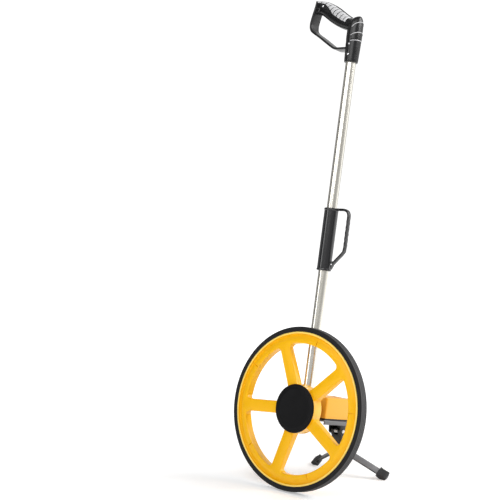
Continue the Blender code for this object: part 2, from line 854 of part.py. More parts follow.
def build_case():
    """Yellow counter cover, its base plate, reading window and fixing screws."""
    low = (-CASE_HALF_WIDTH, CASE_FRONT, CASE_FOOT - 4.0)
    high = (CASE_HALF_WIDTH, CASE_BACK, CASE_TOP)
    case = block("counter_case", low, high, 2.2)
    trim = block("trim", (-40.0, 50.0, CASE_FOOT - 10.0), (40.0, 170.0, CASE_FOOT))
    inner_low = (-CASE_HALF_WIDTH + CASE_WALL, CASE_FRONT + CASE_WALL, CASE_FOOT - 6.0)
    inner_high = (CASE_HALF_WIDTH - CASE_WALL, CASE_BACK - CASE_WALL, CASE_TOP - CASE_WALL)
    room = block("room", inner_low, inner_high)
    subtract(case, trim, room)
    for x in (-23.5, 23.5):
        for y in (71.5, 146.5):
            side = math.copysign(1.0, x)
            edges = sorted((x - side * 3.3, side * (CASE_HALF_WIDTH - 1.0)))
            boss = block("boss", (edges[0], y - 3.6, CASE_FOOT), (edges[1], y + 3.6, -3.0))
            unite(case, boss)
            subtract(case, cylinder("hole", 1.8, -20.0, -5.0, "Z", (x, y), 16))
    subtract(
        case,
        cylinder("axle_hole", 5.2, 55.0, 65.0, "Y"),
        cylinder("shaft_hole", 2.6, 150.0, 165.0, "Y", (SHAFT_X, SHAFT_Z), 20),
        block("window_hole", (-19.0, 74.0, 20.0), (3.0, 138.0, 35.0)),
    )
    finish(case, "yellow_plastic")
    window = block("counter_window", (-18.7, 74.3, 26.0), (2.7, 137.7, 28.4), 0.5)
    finish(window, "clear_plastic")
    base = block("counter_base", (-29.6, 60.4, -15.7), (29.6, 157.6, -13.3))
    for x in (-23.5, 23.5):
        for y in (71.5, 146.5):
            subtract(base, cylinder("hole", 1.8, -20.0, -5.0, "Z", (x, y), 16))
    finish(base, "black_plastic")
    number = 0
    for x in (-23.5, 23.5):
        for y in (71.5, 146.5):
            number += 1
            profile = [
                (0.0, -20.8),
                (2.2, -20.6),
                (3.0, -19.9),
                (3.0, -18.7),
                (1.5, -18.7),
                (1.5, -5.6),
                (0.0, -5.6),
            ]
            screw = lathe("case_screw_" + str(number), profile, "Z", (x, y), 16)
            finish(screw, "bright_steel")


def gear_points(centre, teeth, root, tip, turn_deg):
    """Outline of a spur gear with narrow straight-sided teeth, four points a tooth."""
    points = []
    pitch = 360.0 / teeth
    shape = ((0.32, root), (0.43, tip), (0.57, tip), (0.68, root))
    for tooth in range(teeth):
        for part, radius in shape:
            angle = math.radians(turn_deg + pitch * (tooth + part))
            x = centre[0] + radius * math.cos(angle)
            z = centre[1] + radius * math.sin(angle)
            points.append((x, z))
    return points


def make_gear(name, centre, teeth, root, tip, bore, low, high, turn_deg):
    """Spur gear on an axis along the axle direction."""
    outer = gear_points(centre, teeth, root, tip, turn_deg)
    inner = circle_points(centre, bore, len(outer), turn_deg)
    gear = ring_prism(name, outer, inner, low, high, "Y")
    finish(gear, "gear_plastic")
    return gear


def build_counter_works():
    """Frame, gear pair, number drums, transfer pinions and the reset shaft with its knob."""
    outline = [(-19.0, -13.0), (17.0, -13.0), (17.0, 22.0), (-19.0, 22.0)]
    frame = prism("counter_frame", outline, 64.5, 66.0, "Y")
    rear = prism("rear", outline, 141.0, 142.5, "Y")
    strip = block("strip", (-12.0, 65.0, -13.0), (12.0, 142.0, -11.5))
    unite(frame, rear, strip)
    subtract(
        frame,
        cylinder("axle_hole", 4.6, 60.0, 68.0, "Y"),
        cylinder("shaft_hole", 2.2, 60.0, 150.0, "Y", (SHAFT_X, SHAFT_Z), 20),
        cylinder("pinion_hole", 1.45, 60.0, 150.0, "Y", (PINION_X, PINION_Z), 16),
    )
    finish(frame, "bright_steel")

    mesh_angle = math.degrees(math.atan2(SHAFT_Z, SHAFT_X))
    half_tooth = 0.5 * 360.0 / GEAR_TEETH
    drive_turn = mesh_angle - half_tooth
    driven_turn = mesh_angle + 180.0
    make_gear("drive_gear", (0.0, 0.0), GEAR_TEETH, GEAR_ROOT, GEAR_TIP, 4.3, 68.2, 72.0, drive_turn)
    make_gear("units_gear", (SHAFT_X, SHAFT_Z), GEAR_TEETH, GEAR_ROOT, GEAR_TIP, 2.15, 68.2, 74.6, driven_turn)

    for index in range(DRUM_COUNT):
        start = DRUM_FIRST_Y + DRUM_PITCH * index
        end = start + DRUM_WIDTH
        profile = [
            (2.15, start),
            (11.6, start),
            (DRUM_RADIUS, start + 0.4),
            (DRUM_RADIUS, end),
            (11.8, end),
            (11.4, end - 6.0),
            (4.6, end - 6.0),
            (4.6, end),
            (2.15, end),
        ]
        drum = lathe("drum_" + str(index + 1), profile, "Y", (SHAFT_X, SHAFT_Z), 24)
        finish(drum, "white_plastic" if index else "black_plastic")

    for index in range(DRUM_COUNT - 1):
        middle = DRUM_FIRST_Y + DRUM_PITCH * (index + 1) - 0.4
        name = "transfer_pinion_" + str(index + 1)
        make_gear(name, (PINION_X, PINION_Z), 8, 2.8, 4.1, 1.38, middle - 2.0, middle + 2.0, 0.0)
    pinion_shaft = cylinder("pinion_shaft", 1.2, 63.6, 143.4, "Y", (PINION_X, PINION_Z), 16)
    finish(pinion_shaft, "bright_steel")
    reset_shaft = cylinder("reset_shaft", 2.0, 63.4, 166.0, "Y", (SHAFT_X, SHAFT_Z), 24)
    finish(reset_shaft, "bright_steel")
    knurl = gear_points((SHAFT_X, SHAFT_Z), 12, 7.2, 8.0, 0.0)
    bore = circle_points((SHAFT_X, SHAFT_Z), 2.3, len(knurl))
    knob = ring_prism("reset_knob", knurl, bore, 158.4, 167.0, "Y")
    finish(knob, "black_plastic")


# --------------------------------------------------------------------------- stand


def stand_axes():
    """Directions along the stem, down the plane of the legs and square to that plane."""
    stem = Vector((0.0, APEX_Y - HINGE_Y, APEX_Z - HINGE_Z))
    stem.normalize()
    down = Vector((0.0, FOOT_Y - APEX_Y, FOOT_Z - APEX_Z))
    down.normalize()
    square = Vector((0.0, -down.z, down.y))
    return stem, down, square


def slab(name, outline, origin, first_axis, second_axis, depth_axis, low, high):
    """Prism drawn on two free directions and carried along a third."""
    count = len(outline)
    vertices = []
    for depth in (low, high):
        for first, second in outline:
            vertices.append(origin + first_axis * first + second_axis * second + depth_axis * depth)
    faces = [tuple(range(count)), tuple(range(2 * count - 1, count - 1, -1))]
    for index in range(count):
        following = (index + 1) % count
        faces.append((index, following, count + following, count + index))
    return make_object(name, vertices, faces)


def build_stand_hinge():
    """Hinge yoke under the counter bracket, its rivets, pin and return spring."""
    lug_outline = [(132.0, -18.7), (154.0, -18.7), (150.4, -38.0)]
    lug_outline += circle_points((HINGE_Y, HINGE_Z), 7.0, 9, 0.0, -180.0)[1:-1]
    lug_outline += [(135.8, -38.0)]
    yoke = block("stand_yoke", (-15.4, 128.0, -21.2), (15.4, 157.6, -18.7))
    for low, high in ((-15.4, -13.0), (13.0, 15.4)):
        unite(yoke, prism("lug", lug_outline, low, high, "X"))
    holes = [cylinder("pin_hole", 2.8, -20.0, 20.0, "X", (HINGE_Y, HINGE_Z), 24)]
    for y in (131.0, 155.0):
        holes.append(cylinder("rivet_hole", 2.1, -25.0, -14.0, "Z", (0.0, y), 16))
    subtract(yoke, *holes)
    finish(yoke, "black_steel")
    for name, y in (("yoke_rivet_front", 131.0), ("yoke_rivet_back", 155.0)):
        profile = [(0.0, -23.2), (2.4, -22.9), (3.6, -21.5), (1.8, -21.5), (1.8, -16.2), (0.0, -16.2)]
        rivet = lathe(name, profile, "Z", (0.0, y), 16)
        finish(rivet, "bright_steel")
    pin_profile = [
        (0.0, -17.6),
        (3.2, -17.4),
        (4.0, -15.7),
        (2.5, -15.7),
        (2.5, 15.7),
        (4.0, 15.7),
        (3.2, 17.4),
        (0.0, 17.6),
    ]
    pin = lathe("stand_pin", pin_profile, "X", (HINGE_Y, HINGE_Z), 24)
    finish(pin, "bright_steel")


def build_stand_spring():
    """Torsion spring of five coils round the middle of the pin."""
    turns = 4.5
    wire = 0.75
    coil_radius = 4.0
    start_x = -4.6
    pitch = 9.2 / turns
    per_turn = 10
    sides = 6
    steps = int(turns * per_turn)
    vertices = []
    for step in range(steps + 1):
        angle = 2.0 * math.pi * step / per_turn
        outward = Vector((0.0, math.cos(angle), math.sin(angle)))
        centre = Vector((start_x + pitch * step / per_turn, HINGE_Y, HINGE_Z)) + outward * coil_radius
        for side in range(sides):
            turn = 2.0 * math.pi * side / sides
            offset = outward * (wire * math.cos(turn)) + Vector((wire * math.sin(turn), 0.0, 0.0))
            vertices.append(centre + offset)
    faces = []
    for step in range(steps):
        for side in range(sides):
            following = (side + 1) % sides
            low = step * sides
            high = low + sides
            faces.append((low + side, low + following, high + following, high + side))
    faces.append(tuple(range(sides)))
    faces.append(tuple(steps * sides + side for side in range(sides - 1, -1, -1)))
    spring = make_object("stand_spring", vertices, faces)
    finish(spring, "bright_steel")


def build_stand_leg_set():
    """Stem on the pin, bent steel bar across its end, bolt and two rubber boots."""
    stem_axis, down, square = stand_axes()
    sideways = Vector((1.0, 0.0, 0.0))
    hinge = Vector((0.0, HINGE_Y, HINGE_Z))
    apex = Vector((0.0, APEX_Y, APEX_Z))
    stem_square = Vector((0.0, -stem_axis.z, stem_axis.y))
    stem_length = (apex - hinge).length

    stem_outline = [
        (7.0, -4.4),
        (11.0, -6.4),
        (stem_length + 1.4, -6.4),
        (stem_length + 1.4, 6.4),
        (11.0, 6.4),
        (7.0, 4.4),
    ]
    stem = slab("stand_stem", stem_outline, hinge, stem_axis, stem_square, sideways, -12.2, 12.2)
    ear_outline = circle_points((0.0, 0.0), 5.0, 13, 90.0, 180.0) + [(9.0, -5.0), (9.0, 5.0)]
    for low, high in ((-12.6, -6.0), (6.0, 12.6)):
        ear = slab("ear", ear_outline, hinge, stem_axis, stem_square, sideways, low, high)
        unite(stem, ear)
    subtract(stem, cylinder("pin_hole", 2.7, -20.0, 20.0, "X", (HINGE_Y, HINGE_Z), 24))

    leg_run = Vector((FOOT_X, (Vector((0.0, FOOT_Y, FOOT_Z)) - apex).length))
    leg_length = leg_run.length
    leg_run.normalize()
    strap_end = leg_run * (leg_length - 6.0)
    flat_depth = 5.0
    flat_half = flat_depth * leg_run.x / leg_run.y
    strap_path = [
        (-strap_end.x, strap_end.y),
        (-flat_half, flat_depth),
        (flat_half, flat_depth),
        (strap_end.x, strap_end.y),
    ]
    strap_outline = band_outline(strap_path, 2.0 * STRAP_HALF_THICKNESS)
    bar = slab(
        "stand_legs", strap_outline, apex, sideways, down, square, -STRAP_HALF_WIDTH, STRAP_HALF_WIDTH
    )

    turn = Vector((0.0, 0.0, 1.0)).rotation_difference(down).to_matrix().to_4x4()
    seat = Matrix.Translation(apex) @ turn
    bolt_profile = [
        (0.0, -14.0),
        (2.4, -14.0),
        (2.4, flat_depth + STRAP_HALF_THICKNESS + GAP),
        (4.6, flat_depth + STRAP_HALF_THICKNESS + GAP),
        (4.6, 10.2),
        (3.2, 11.2),
        (0.0, 11.4),
    ]
    bolt = lathe("stand_bolt", bolt_profile, "Z", segments=20)
    bolt.data.transform(seat)
    stem_hole = cylinder("bolt_hole", 2.7, -14.4, 20.0, "Z", segments=20)
    stem_hole.data.transform(seat)
    bar_hole = cylinder("bolt_hole", 2.7, -14.4, 20.0, "Z", segments=20)
    bar_hole.data.transform(seat)
    subtract(stem, stem_hole)
    subtract(bar, bar_hole)
    finish(stem, "black_steel")
    finish(bar, "grey_steel")
    finish(bolt, "bright_steel")

    lean = math.radians(LEAN_DEG)

    def floor_height(y):
        return (y * math.sin(lean) - FLOOR_DROP) / math.cos(lean)

    for name, side in (("boot_left", -1.0), ("boot_right", 1.0)):
        along = sideways * (side * leg_run.x) + down * leg_run.y
        inplane = sideways * (side * leg_run.y) - down * leg_run.x
        start = leg_length - 16.0
        boot_outline = [
            (start, -4.4),
            (start + 1.2, -5.2),
            (leg_length - 5.0, -9.4),
            (leg_length + 5.0, -9.4),
            (leg_length + 5.0, 5.2),
            (start + 1.2, 5.2),
            (start, 4.4),
        ]
        boot = slab(name, boot_outline, apex, along, inplane, square, -9.6, 9.6)
        pocket_half = STRAP_HALF_THICKNESS + GAP
        pocket_end = leg_length - 4.0
        pocket_outline = [
            (start - 5.0, -pocket_half),
            (pocket_end, -pocket_half),
            (pocket_end, pocket_half),
            (start - 5.0, pocket_half),
        ]
        deep = STRAP_HALF_WIDTH + GAP
        subtract(boot, slab("pocket", pocket_outline, apex, along, inplane, square, -deep, deep))
        floor_outline = [
            (100.0, floor_height(100.0)),
            (300.0, floor_height(300.0)),
            (300.0, -400.0),
            (100.0, -400.0),
        ]
        subtract(boot, prism("floor", floor_outline, -200.0, 200.0, "X"))
        finish(boot, "foot_rubber")


def settle():
    """Lean the assembly onto its stand, convert to metres and centre it over the origin."""
    lean = Matrix.Rotation(-math.radians(LEAN_DEG), 4, "X")
    scale = Matrix.Scale(MILLIMETRE, 4)
    lift = Matrix.Translation((0.0, 0.0, FLOOR_DROP * MILLIMETRE))
    parts = [made for made in bpy.data.objects if made.type == "MESH"]
    low = Vector((1e9, 1e9, 1e9))
    high = -low
    for made in parts:
        shape = bmesh.new()
        shape.from_mesh(made.data)
        bmesh.ops.remove_doubles(shape, verts=shape.verts, dist=1e-4)
        bmesh.ops.triangulate(shape, faces=shape.faces)
        bmesh.ops.recalc_face_normals(shape, faces=shape.faces)
        shape.to_mesh(made.data)
        shape.free()
        made.data.transform(lift @ lean @ scale)
        for vertex in made.data.vertices:
            for axis in range(3):
                low[axis] = min(low[axis], vertex.co[axis])
                high[axis] = max(high[axis], vertex.co[axis])
    centre = Matrix.Translation((-0.5 * (low.x + high.x), -0.5 * (low.y + high.y), -low.z))
    for made in parts:
        made.data.transform(centre)


build_tyre()
build_wheel()
build_hub_cap()
build_axle_group()
build_pole_foot()
build_tubes()
build_fold_joint()
build_sleeve()
build_handle()
build_grip_pad()
build_guard()
build_bracket()
build_case()
build_counter_works()
build_stand_hinge()
build_stand_spring()
build_stand_leg_set()
settle()
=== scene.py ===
"""Looks of a folding measuring wheel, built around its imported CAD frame.

Shapes are drawn in millimetres in the wheel's own upright axes: x the way it rolls, y along
the axle from the wheel's outer face to the counter, z up the pole, origin at the wheel centre.
TO_ROW then leans every piece onto its stand and carries it into the frame's metres.
"""

from math import atan2, copysign, cos, hypot, pi, radians, sin, sqrt, tan

import bmesh
import bpy
from mathutils import Matrix, Vector
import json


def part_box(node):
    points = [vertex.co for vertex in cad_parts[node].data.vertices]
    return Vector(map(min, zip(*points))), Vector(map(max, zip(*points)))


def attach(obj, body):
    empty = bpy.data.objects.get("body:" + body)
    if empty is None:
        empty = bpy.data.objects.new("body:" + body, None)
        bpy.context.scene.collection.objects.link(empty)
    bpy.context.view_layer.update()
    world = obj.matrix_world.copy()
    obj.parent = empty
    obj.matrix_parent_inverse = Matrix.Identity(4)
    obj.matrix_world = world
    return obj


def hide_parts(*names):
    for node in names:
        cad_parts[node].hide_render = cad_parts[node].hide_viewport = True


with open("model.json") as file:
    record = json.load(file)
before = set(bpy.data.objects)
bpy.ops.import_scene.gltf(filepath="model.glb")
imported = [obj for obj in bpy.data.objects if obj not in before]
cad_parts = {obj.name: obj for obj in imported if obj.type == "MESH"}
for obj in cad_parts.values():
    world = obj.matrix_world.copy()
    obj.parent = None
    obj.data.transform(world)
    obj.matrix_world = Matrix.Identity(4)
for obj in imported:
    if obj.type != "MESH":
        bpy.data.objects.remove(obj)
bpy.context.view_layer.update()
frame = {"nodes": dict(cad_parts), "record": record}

# ---- axes and shared sizes

LEAN = radians(11.5)
TYRE_MIDDLE = 9
tyre_low, tyre_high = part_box("tyre")
lean_turn = Matrix.Rotation(-LEAN, 4, "X")
middle_offset = lean_turn.to_3x3() @ Vector((0, TYRE_MIDDLE * 0.001, 0))
row_origin = (tyre_low + tyre_high) * 0.5 - middle_offset
TO_ROW = Matrix.Translation(row_origin) @ lean_turn @ Matrix.Scale(0.001, 4)

ORIGIN = Vector((0, 0, 0))
X_WAY = Vector((1, 0, 0))
Y_WAY = Vector((0, 1, 0))
Z_WAY = Vector((0, 0, 1))
ROW_AXLE = (TO_ROW.to_3x3() @ Y_WAY).normalized()

# Origin, the two directions of an outline, and the direction of its depth
AXES = {
    "X": (ORIGIN, Y_WAY, Z_WAY, X_WAY),
    "Y": (ORIGIN, X_WAY, Z_WAY, Y_WAY),
    "Z": (ORIGIN, X_WAY, Y_WAY, Z_WAY),
}

# Sizes shared by several pieces, in millimetres
POLE_Y = 33.5
TUBE_RADIUS = 10.25
TUBE_BORE = 9.25
TYRE_WIDTH = 18
RIM_EDGE = 126.5
HUB_EDGE = 46.4
SPOKE_HALF = 12
SPOKE_COUNT = 5
FIRST_WINDOW_DEG = 4
WINDOW_PITCH_DEG = 360 / SPOKE_COUNT
STEPS_ROUND = 240
SHAFT_X, SHAFT_Z = -8, 10
HINGE_Y, HINGE_Z = 143, -38
APEX_Y, APEX_Z = 164, -73
FOOT_X, FOOT_Y, FOOT_Z = 89, 202, -113.5
FLOOR_DROP = 159.08
SPLIT_HALF_GAP = 0.15
WHITE = (1, 1, 1, 1)

# ---- materials


def node_of(tree, kind, **settings):
    """Add a shader node and set its named properties or inputs."""
    node = tree.nodes.new(kind)
    for name, value in settings.items():
        if name in node.inputs:
            node.inputs[name].default_value = value
        else:
            setattr(node, name, value)
    return node


def wire(tree, *pairs):
    """Link each (output, input) pair."""
    for output, taken in pairs:
        tree.links.new(output, taken)


def map_range(tree, low, high, start, end):
    """Shader node that carries one range of values to another."""
    ends = {"From Min": low, "From Max": high, "To Min": start, "To Max": end}
    return node_of(tree, "ShaderNodeMapRange", **ends)


def surface(name, colour, roughness, shift, patch, grain, grain_depth, metallic, specular,
            stretch=(1, 1, 1), extra=()):
    """Procedural material: patchy colour, uneven gloss and fine grain."""
    made = bpy.data.materials.new(name)
    made.use_nodes = True
    tree = made.node_tree
    shader = tree.nodes["Principled BSDF"]
    link = tree.links.new
    place = node_of(tree, "ShaderNodeTexCoord")
    align = node_of(tree, "ShaderNodeMapping", Rotation=(LEAN, 0, 0))
    link(place.outputs["Object"], align.inputs["Vector"])
    drawn = node_of(tree, "ShaderNodeMapping", Scale=stretch)
    link(align.outputs["Vector"], drawn.inputs["Vector"])
    broad = node_of(tree, "ShaderNodeTexNoise", Scale=patch, Detail=4)
    link(align.outputs["Vector"], broad.inputs["Vector"])
    fine = node_of(tree, "ShaderNodeTexNoise", Scale=grain, Detail=3)
    link(drawn.outputs["Vector"], fine.inputs["Vector"])

    tone = node_of(tree, "ShaderNodeMix", data_type="RGBA")
    tone_ends = [socket for socket in tone.inputs if socket.type == "RGBA"]
    for end, factor in zip(tone_ends, (1 - shift, 1 + shift)):
        end.default_value = (*[min(channel * factor, 1) for channel in colour], 1)
    link(broad.outputs["Fac"], tone.inputs[0])
    colour_out = [socket for socket in tone.outputs if socket.type == "RGBA"][0]
    link(colour_out, shader.inputs["Base Color"])

    gloss = map_range(tree, 0.3, 0.7, *roughness)
    blend = node_of(tree, "ShaderNodeMath", operation="ADD")
    for noise, half_sum in ((fine, blend.inputs[0]), (broad, blend.inputs[1])):
        half = node_of(tree, "ShaderNodeMath", operation="MULTIPLY")
        half.inputs[1].default_value = 0.5
        link(noise.outputs["Fac"], half.inputs[0])
        link(half.outputs[0], half_sum)
    link(blend.outputs[0], gloss.inputs["Value"])
    link(gloss.outputs["Result"], shader.inputs["Roughness"])

    bump = node_of(tree, "ShaderNodeBump", Strength=0.6, Distance=grain_depth * 0.001)
    link(fine.outputs["Fac"], bump.inputs["Height"])
    link(bump.outputs["Normal"], shader.inputs["Normal"])

    shader.inputs["Metallic"].default_value = metallic
    shader.inputs["Specular IOR Level"].default_value = specular
    for key, value in extra:
        shader.inputs[key].default_value = value
    made.diffuse_color = (*colour, 1)
    return made


# By look: material name, colour, roughness range, colour shift, patch scale, grain scale,
# grain depth in millimetres, metallic and specular level; then, where needed, the grain's
# stretch and further shader settings
LOOKS = {
    "yellow_plastic": ("yellow_moulding", (0.9, 0.47, 0.001), (0.24, 0.34), 0.03, 26, 1400, 0.012, 0, 0.22),
    "case_plastic": ("case_moulding", (0.82, 0.395, 0.022), (0.28, 0.4), 0.03, 34, 1300, 0.02, 0, 0.5),
    # Paler, glossier copy of the yellow plastic for the walls that face sideways: painted sheen
    "yellow_wall": ("yellow_wall", (0.9, 0.47, 0.004), (0.18, 0.26), 0.03, 26, 1400, 0.008, 0, 0.75),
    # Paler copy of the yellow plastic for the front lip: painted highlight along the lip
    "yellow_edge": ("yellow_edge", (0.95, 0.66, 0.12), (0.3, 0.4), 0.03, 40, 1400, 0.012, 0, 0.5),
    "black_plastic": ("black_moulding", (0.01, 0.01, 0.011), (0.36, 0.5), 0.2, 90, 1100, 0.05, 0, 0.35),
    "cap_plastic": ("cap_moulding", (0.0035, 0.0035, 0.004), (0.32, 0.48), 0.4, 40, 1300, 0.03, 0, 0.1),
    "handle_plastic": (
        "stippled_moulding", (0.004, 0.004, 0.0045), (0.2, 0.32), 0.3, 80, 520, 0.16, 0, 0.4),
    # Near-black rubber for the pad's grooves: painted shade in the grooves
    "groove_rubber": ("groove_rubber", (0.012, 0.012, 0.013), (0.6, 0.7), 0.2, 100, 1200, 0.03, 0, 0.2),
    "sleeve_plastic": (
        "smooth_black_moulding", (0.006, 0.006, 0.007), (0.2, 0.3), 0.2, 60, 1300, 0.01, 0, 0.3,
        (1, 1, 1), (("Coat Weight", 0.7), ("Coat Roughness", 0.06))),
    "grey_rubber": (
        "grip_rubber", (0.5, 0.5, 0.51), (0.5, 0.66), 0.06, 120, 1500, 0.02, 0, 0.5,
        (1, 1, 1), (("Sheen Weight", 0.15),)),
    "tyre_rubber": (
        "tyre_wall_rubber", (0.007, 0.007, 0.0075), (0.5, 0.7), 0.3, 70, 1300, 0.06, 0, 0.2),
    # Tread rubber is a lighter grey than the sidewall: painted sheen on the running face
    "tread_rubber": (
        "tyre_tread_rubber", (0.075, 0.073, 0.074), (0.6, 0.8), 0.2, 34, 1100, 0.08, 0, 0.12),
    "foot_rubber": ("foot_rubber", (0.02, 0.02, 0.021), (0.5, 0.7), 0.2, 140, 1500, 0.06, 0, 0.3),
    "satin_tube": (
        "satin_anodised", (0.65, 0.628, 0.57), (0.16, 0.25), 0.04, 30, 1600, 0.006, 1, 0.5,
        (1, 1, 0.02)),
    "cast_aluminium": ("cast_aluminium", (0.5, 0.5, 0.51), (0.38, 0.56), 0.08, 110, 900, 0.05, 1, 0.5),
    "bright_steel": (
        "zinc_steel", (0.62, 0.62, 0.63), (0.2, 0.34), 0.06, 220, 1500, 0.008, 1, 0.5, (1, 0.2, 1)),
    "grey_steel": (
        "grey_coated_steel", (0.15, 0.15, 0.155), (0.34, 0.48), 0.07, 80, 1300, 0.02, 0.55, 0.5),
    "black_steel": (
        "black_coated_steel", (0.008, 0.008, 0.009), (0.3, 0.44), 0.15, 100, 1300, 0.03, 0.2, 0.5),
    "bronze": ("sintered_bronze", (0.5, 0.31, 0.13), (0.36, 0.5), 0.1, 200, 1800, 0.02, 1, 0.5),
    "white_plastic": ("white_moulding", (0.8, 0.8, 0.77), (0.35, 0.5), 0.03, 120, 1200, 0.01, 0, 0.5),
    "gear_plastic": ("acetal", (0.72, 0.69, 0.6), (0.34, 0.46), 0.04, 120, 1200, 0.01, 0, 0.5),
    "clear_plastic": (
        "clear_moulding", (0.95, 0.97, 0.98), (0.03, 0.07), 0.01, 60, 700, 0.001, 0, 0.5,
        (1, 1, 1), (("Transmission Weight", 1), ("IOR", 1.49))),
    "ink": ("printing_ink", (0.01, 0.01, 0.01), (0.4, 0.5), 0.1, 60, 900, 0.02, 0, 0.5),
    "white_ink": ("white_printing_ink", (0.85, 0.85, 0.83), (0.4, 0.5), 0.02, 60, 900, 0.02, 0, 0.5),
}
MATERIALS = {look: surface(*settings) for look, settings in LOOKS.items()}

# ---- shape helpers


def placed(name, data):
    """New object in the scene that holds a mesh, text, light or camera."""
    made = bpy.data.objects.new(name, data)
    bpy.context.scene.collection.objects.link(made)
    return made


def mend(mesh, merge=0, degenerate=0, outward=True):
    """Merge close vertices, dissolve degenerate faces and turn the normals outwards."""
    shape = bmesh.new()
    shape.from_mesh(mesh)
    if merge:
        bmesh.ops.remove_doubles(shape, verts=shape.verts, dist=merge)
    if degenerate:
        bmesh.ops.dissolve_degenerate(shape, dist=degenerate, edges=shape.edges)
    if outward:
        bmesh.ops.recalc_face_normals(shape, faces=shape.faces)
    shape.to_mesh(mesh)
    shape.free()


def make(name, vertices, faces):
    """New mesh object in the drawing axes."""
    mesh = bpy.data.meshes.new(name)
    mesh.from_pydata([tuple(vertex) for vertex in vertices], [], faces)
    mend(mesh)
    return placed(name, mesh)


def evaluated(made, *modifiers):
    """Apply modifiers given as (type, settings) to an object's mesh."""
    for kind, settings in modifiers:
        modifier = made.modifiers.new(kind.lower(), kind)
        for key, value in settings.items():
            setattr(modifier, key, value)
    depsgraph = bpy.context.evaluated_depsgraph_get()
    result = bpy.data.meshes.new_from_object(made.evaluated_get(depsgraph))
    made.modifiers.clear()
    made.data = result
    return made


def boolean(target, tools, operation):
    """Boolean of one object with several, which are used up."""
    for tool in tools:
        settings = {"operation": operation, "solver": "EXACT", "object": tool}
        evaluated(target, ("BOOLEAN", settings))
        bpy.data.objects.remove(tool, do_unlink=True)
        mend(target.data, 1e-4, 1e-5, outward=False)
    return target


def cut(target, *tools):
    """Take the tools away from an object."""
    return boolean(target, tools, "DIFFERENCE")


def fuse(target, *tools):
    """Add the tools to an object."""
    return boolean(target, tools, "UNION")


def joined(target, *others):
    """One object holding the meshes of several."""
    shape = bmesh.new()
    shape.from_mesh(target.data)
    for other in others:
        shape.from_mesh(other.data)
        bpy.data.objects.remove(other, do_unlink=True)
    shape.to_mesh(target.data)
    shape.free()
    return target


def finish(made, body, slot, nodes=(), look=None, sharp_deg=32):
    """Carry a piece into the row frame and give it its shading, material and body."""
    mend(made.data, 2e-4, 1e-5)
    made.data.transform(TO_ROW)
    dress(made, look or slot, sharp_deg)
    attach(made, body)
    if nodes:
        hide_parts(*nodes)
    return made


def dress(made, look, sharp_deg):
    """Give a whole piece one look, smooth but creased wherever it turns by more than an angle."""
    mesh = made.data
    mesh.materials.clear()
    mesh.materials.append(MATERIALS[look])
    mesh.polygons.foreach_set("material_index", [0] * len(mesh.polygons))
    mesh.polygons.foreach_set("use_smooth", [True] * len(mesh.polygons))
    mesh.set_sharp_from_angle(angle=radians(sharp_deg))


def repaint(made, look, chosen):
    """Give a further look to the faces that a test chooses."""
    made.data.materials.append(MATERIALS[look])
    index = len(made.data.materials) - 1
    for polygon in made.data.polygons:
        if chosen(polygon):
            polygon.material_index = index


def turns_round(count, offset=0):
    """Angles evenly spaced round a circle, the first moved on by a share of a step."""
    return [2 * pi * (step + offset) / count for step in range(count)]


def heading(angle):
    """Unit vector at an angle in a plane."""
    return Vector((cos(angle), sin(angle)))


def spoke_axes(degrees):
    """Axes for a piece drawn outwards from the wheel's centre at an angle."""
    way = heading(radians(degrees))
    return ORIGIN, Vector((way.x, 0, way.y)), Vector((-way.y, 0, way.x)), Y_WAY


def ring_faces(rows, count):
    """Quads between successive rings of equal count."""
    faces = []
    for row in range(rows - 1):
        low = row * count
        high = low + count
        for step in range(count):
            following = (step + 1) % count
            faces.append((low + step, low + following, high + following, high + step))
    return faces


def lathe(profile, axis, centre=(0, 0), segments=64, name="turned"):
    """Body of revolution from a closed loop of (radius, height) points."""
    origin, first, second, depth = AXES[axis]
    middle = origin + first * centre[0] + second * centre[1]
    vertices = []
    rings = []
    for radius, height in profile:
        count = 1 if radius < 1e-6 else segments
        rings.append((len(vertices), count))
        for angle in turns_round(segments)[:count]:
            outward = first * cos(angle) + second * sin(angle)
            vertices.append(middle + outward * radius + depth * height)
    faces = []
    for index, (low, low_count) in enumerate(rings):
        high, high_count = rings[(index + 1) % len(rings)]
        for step in range(segments):
            following = (step + 1) % segments
            if low_count == 1 and high_count == 1:
                break
            if low_count == 1:
                faces.append((low, high + step, high + following))
            elif high_count == 1:
                faces.append((low + following, low + step, high))
            else:
                faces.append((low + following, low + step, high + step, high + following))
    return make(name, vertices, faces)


def both_ends(profile):
    """Whole profile from the half at one end."""
    return profile + [(radius, -height) for radius, height in reversed(profile)]


def rod(radius, low, high, axis, centre=(0, 0), segments=48, ease=0):
    """Solid cylinder, its ends chamfered by the ease."""
    profile = [(0, low), (radius - ease, low), (radius, low + ease), (radius, high - ease),
               (radius - ease, high), (0, high)]
    if ease <= 0:
        profile = [(0, low), (radius, low), (radius, high), (0, high)]
    return lathe(profile, axis, centre, segments)


def filleted(corners, steps=5):
    """Closed outline from corners (a, b, radius), each rounded to its radius."""
    points = []
    count = len(corners)
    for index, (a, b, radius) in enumerate(corners):
        if radius <= 0:
            points.append((a, b))
            continue
        corner = Vector((a, b))
        before = Vector(corners[index - 1][:2]) - corner
        after = Vector(corners[(index + 1) % count][:2]) - corner
        room = 0.49 * min(before.length, after.length)
        before.normalize()
        after.normalize()
        half = 0.5 * before.angle(after)
        if abs(half - 0.5 * pi) < 1e-3:
            points.append((a, b))
            continue
        reach = min(radius / tan(half), room)
        used = reach * tan(half)
        middle = corner + (before + after).normalized() * (used / sin(half))
        start = corner + before * reach - middle
        end = corner + after * reach - middle
        turn = atan2(start.x * end.y - start.y * end.x, start.dot(end))
        for step in range(steps + 1):
            angle = turn * step / steps
            x = start.x * cos(angle) - start.y * sin(angle)
            y = start.x * sin(angle) + start.y * cos(angle)
            points.append((middle.x + x, middle.y + y))
    return points


def rectangle(low_a, low_b, high_a, high_b, radius, steps=5):
    """Rounded rectangle outline."""
    corners = [(low_a, low_b, radius), (high_a, low_b, radius),
               (high_a, high_b, radius), (low_a, high_b, radius)]
    return filleted(corners, steps)


